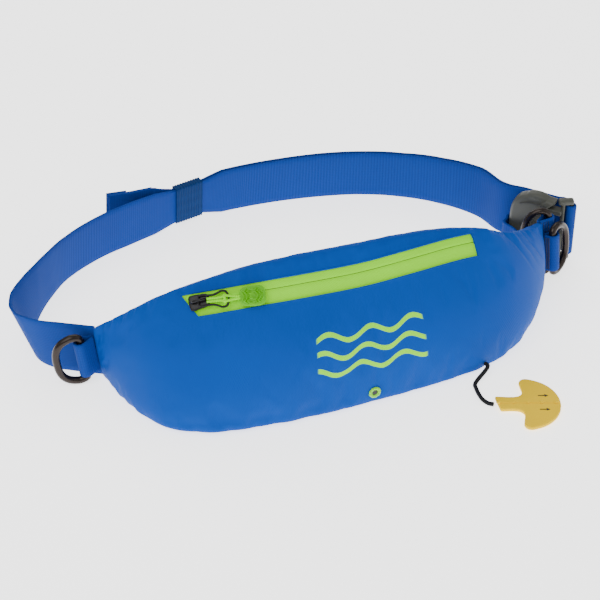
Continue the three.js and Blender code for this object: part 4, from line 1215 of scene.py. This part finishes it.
def makeEyelet():
    e = eyeletSettings
    right, up, out = faceAxes(e["place"], e["rise"])
    seat = facePoint(e["place"], e["rise"], fit)

    def spot(u, v):
        angle, turn = 2 * math.pi * u, 2 * math.pi * v
        crimp = 0.5 + 0.5 * math.cos(angle * e["crimps"])
        half = (e["outer"] - e["inner"]) / 2
        reach = e["inner"] + half + half * math.cos(turn) * (0.86 + 0.14 * crimp)
        high = max(0, math.sin(turn)) * e["high"] * (0.72 + 0.28 * crimp) + 0.1 * min(0, math.sin(turn))
        return seat + right * (reach * math.cos(angle)) + up * (reach * math.sin(angle)) + out * high

    eyelet = addSheet("eyelet_ring", 108, 20, spot, (0.02, 0.01), closed=True)
    finishPiece(eyelet, "belt_pack", "eyelet", ("drain_eyelet",), smooth=60)

    def inHole(x, y, z):
        return seat + out * (x + 0.12) + right * y + up * z

    # a dark disc of painted shade stands in the eyelet's hole
    hole = addPad("eyelet_hole", 8, 20, inHole, (0.1, 1.9, 1.9), 1)
    finishPiece(hole, "belt_pack", "paintedShade")


def makeWelts():
    # the cloth's turned edges along the window
    z = zipSettings
    for name, fromTop, slant in (("upper", z["top"], 0), ("lower", z["bottom"], 1)):
        start, end = z["start"] + z["slant"] * slant, z["end"] + z["endSlant"] * slant
        path = [zipSpot(blendOf(start, end, i / 120), fromTop, -0.35) for i in range(121)]
        welt = addTube("zip_welt_" + name, path, 0.62, 10)
        finishPiece(welt, "belt_pack", "cloth")


# Buckle
def buckleSpot(x, y, z):
    spotX, spotY = inBuckle(x, y)
    return Vector((spotX, spotY, beltSettings["lift"] + 20 + z))


def adjusterSpot(x, y, z):
    spotX, spotY = inAdjuster(x, y)
    return Vector((spotX, spotY, beltSettings["lift"] + 20 + z))


def mouthAt(z):
    return -buckleSettings["bow"] * max(0, 1 - (z / 24) ** 2)


def softStep(value):
    share = min(max(value, 0), 1)
    return share * share * (3 - 2 * share)


femaleSettings = {
    "half": 24.8, "thick": 5.9, "corner": 17, "roundness": 2.3, "rim": 0.95, "rimFrom": 0.8, "wall": 2.1,
    "inside": 10, "outerShare": 0.8, "grooveHalf": 0.42, "columns": 96, "sides": 72,
}
grooveLine = [
    # along the buckle, height
    (-25, 17.4), (-20, 19.4), (-14, 20.1), (-8, 19.6), (-4.5, 18.2),
]


def makeFemale():
    f = femaleSettings
    length, outerShare = buckleSettings["length"], f["outerShare"]

    def spot(u, v):
        angle = 2 * math.pi * v
        side, level = signedPower(math.cos(angle), 0.42), signedPower(math.sin(angle), 0.8)
        s = min(u / outerShare, 1) ** 1.15
        fromBack = s * length
        cornerShare = min(fromBack / f["corner"], 1)
        high = f["half"] * max(0.02, (1 - (1 - cornerShare) ** f["roundness"])) ** (1 / f["roundness"])
        high -= 1.3 * softStep((fromBack - 20) / 13)
        thick = f["thick"] * max(0.03, 1 - (1 - min(fromBack / 7, 1)) ** 2) ** 0.5
        thick += f["rim"] * softStep((s - f["rimFrom"]) / 0.05)
        z = high * level
        mouth = mouthAt(z)
        if u <= outerShare:
            return buckleSpot(-length + s * (mouth + length), thick * side, z)
        inward = (u - outerShare) / (1 - outerShare)
        shell = softStep(inward * 6)
        thick = (thick - f["wall"] * shell) * (1 - 0.96 * softStep((inward - 0.8) / 0.2))
        return buckleSpot(mouth - f["inside"] * max(0, inward - 0.12), thick * side, z * (1 - 0.1 * shell))

    female = addSheet("female_shell", f["columns"], f["sides"], spot, (0.05, 0.1), closed=True)
    finishPiece(female, "belt_pack", "buckle", ("buckle_female",), smooth=50)
    for number, end in enumerate((-1, 1)):
        def button(x, y, z, end=end):
            return buckleSpot(x - 14, y, end * (20.9 - 0.02 * x * x) + z)

        arm = addPad("release_button_%d" % number, 40, 32, button, (9.5, 4.4, 5.4), 0.6)
        finishPiece(arm, "belt_pack", "buckle")
        for face in (-1, 1):
            # dark lines of painted shade in the buttons' grooves
            line = [buckleSpot(x, face * (f["thick"] - 0.12), end * z) for x, z in grooveLine]
            groove = addTube("button_groove_%d" % number, smoothPath(line, 24), f["grooveHalf"], 8)
            finishPiece(groove, "belt_pack", "paintedShade")


def addBlock(name, place, low, high, bevel):
    deselectAll()
    bpy.ops.mesh.primitive_cube_add(size=1)
    block = bpy.context.object
    block.name = block.data.name = name
    for vertex in block.data.vertices:
        shares = [0 if value < 0 else 1 for value in vertex.co]
        vertex.co = inFrame(place(*[blendOf(low[i], high[i], shares[i]) for i in range(3)]))
    editAll(block)
    bpy.ops.mesh.normals_make_consistent(inside=False)
    bpy.ops.object.mode_set(mode="OBJECT")
    addModifier(block, "BEVEL", width=bevel / 1000, segments=4)
    return finishPiece(block, "belt_pack", "buckle")


def makeMale():
    b = buckleSettings
    neckEnd = b["neckFrom"] + b["neckWidth"]
    first = addBlock("male_neck", adjusterSpot, (b["neckFrom"], -2.4, -23.4), (neckEnd, 2.4, 23.4), 1.0)
    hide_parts("buckle_male")
    for number, end in enumerate((-1, 1)):
        low, high = sorted((end * 20.7, end * 24.6))
        railEnd = (b["adjusterLength"], 2.7, high)
        addBlock("male_rail_%d" % number, adjusterSpot, (0.8, -2.7, low), railEnd, 1.3)
        low, high = sorted((end * 13.4, end * 17.2))
        addBlock("male_prong_%d" % number, buckleSpot, (-19, -3.4, low), (4, 3.4, high), 0.9)
    addBlock("male_base", buckleSpot, (-20.4, -3.4, -17), (-17.6, 3.4, 17), 0.8)
    bar = [adjusterSpot(b["endBar"], 0, blendOf(-21.5, 21.5, i / 8)) for i in range(9)]
    endBar = addTube("male_end_bar", bar, b["endBarWidth"] / 2, 14)
    finishPiece(endBar, "belt_pack", "buckle")


anchorSettings = {"bar": 3.6, "lead": 8, "width": 20, "drop": 9.5, "place": 0.945}


def makeAnchor():
    # the webbing that holds the buckle to the back of the pouch
    a = anchorSettings
    thick = beltSettings["thickness"]
    wrap = a["bar"] * math.sqrt(0.5) + tabSettings["play"] + thick / 2
    barAt = -buckleSettings["length"] + a["bar"] / 2
    lift = beltSettings["lift"] + (40 - a["width"]) / 2 - a["drop"]
    start = backPoint(a["place"], 0.35, fit + thick + 1.2)
    spots = [(start.x, start.y)]
    spots.append(inBuckle(barAt + a["lead"], -1.75 * a["lead"]))
    spots.append(inBuckle(barAt - 0.4 * a["lead"], -a["lead"]))
    for angle in (215, 185, 150, 115, 80, 45, 10, -25):
        along, off = swung(wrap, 0, angle)
        spots.append(inBuckle(barAt + along, off))
    band = addBand("anchor_webbing", [webbingRow(x, y, width=a["width"], lift=lift) for x, y in spots], 6)
    finishPiece(band, "belt_pack", "webbing", ("buckle_webbing",))


cellSettings = {
    "inset": 4.6, "fold": 0.5, "from": 0.06, "to": 0.94, "low": 0.07, "high": 0.93,
    "columns": 90, "sides": 48,
}


def makeCell():
    # the folded air cell inside the pouch
    c = cellSettings

    def spot(u, v):
        place = blendOf(c["from"], c["to"], u)
        around = v * 2
        back = around > 1
        rise = blendOf(c["low"], c["high"], 2 - around if back else around)
        fold = c["fold"] * math.sin(rise * 40)
        inset = c["inset"] * min(1, 0.45 + pouchFrame(place)[4])
        return (backPoint if back else facePoint)(place, rise, fold - inset)

    cell = addSheet("folded_cell", c["columns"], c["sides"], spot, (0.28, 0.2), closed=True)
    finishPiece(cell, "belt_pack", "film", ("packed_air_cell",))


def makeFloorPlane():
    deselectAll()
    bpy.ops.mesh.primitive_plane_add(size=30)
    floor = bpy.context.object
    floor.name = "floor"
    floor.data.materials.append(materials["floor"])


addCamera()
addLights()
print("camera and light placed")
materials = makeMaterials()
makeFloorPlane()
pullCord, pullPath = makeCord()
handleParts = makeHandle()
cordLength = sum((b - a).length for a, b in zip(pullPath, pullPath[1:])) / 1000
inFrame(pullPath[0])
[inFrame(point) for point in pullPath]
print("cord and handle laid out")
pouch = makePouch()
print("pouch filled out")
makeZip()
print("zip sewn in")
makeBelt()
makeKeeper()
print("belt threaded")
for ringSpec in ringSpecs():
    makeTab(ringSpec)
    makeRing(ringSpec)
print("rings hung")
makeSlider()
makeEyelet()
makeFemale()
makeMale()
makeAnchor()
makeCell()
print("hardware added")
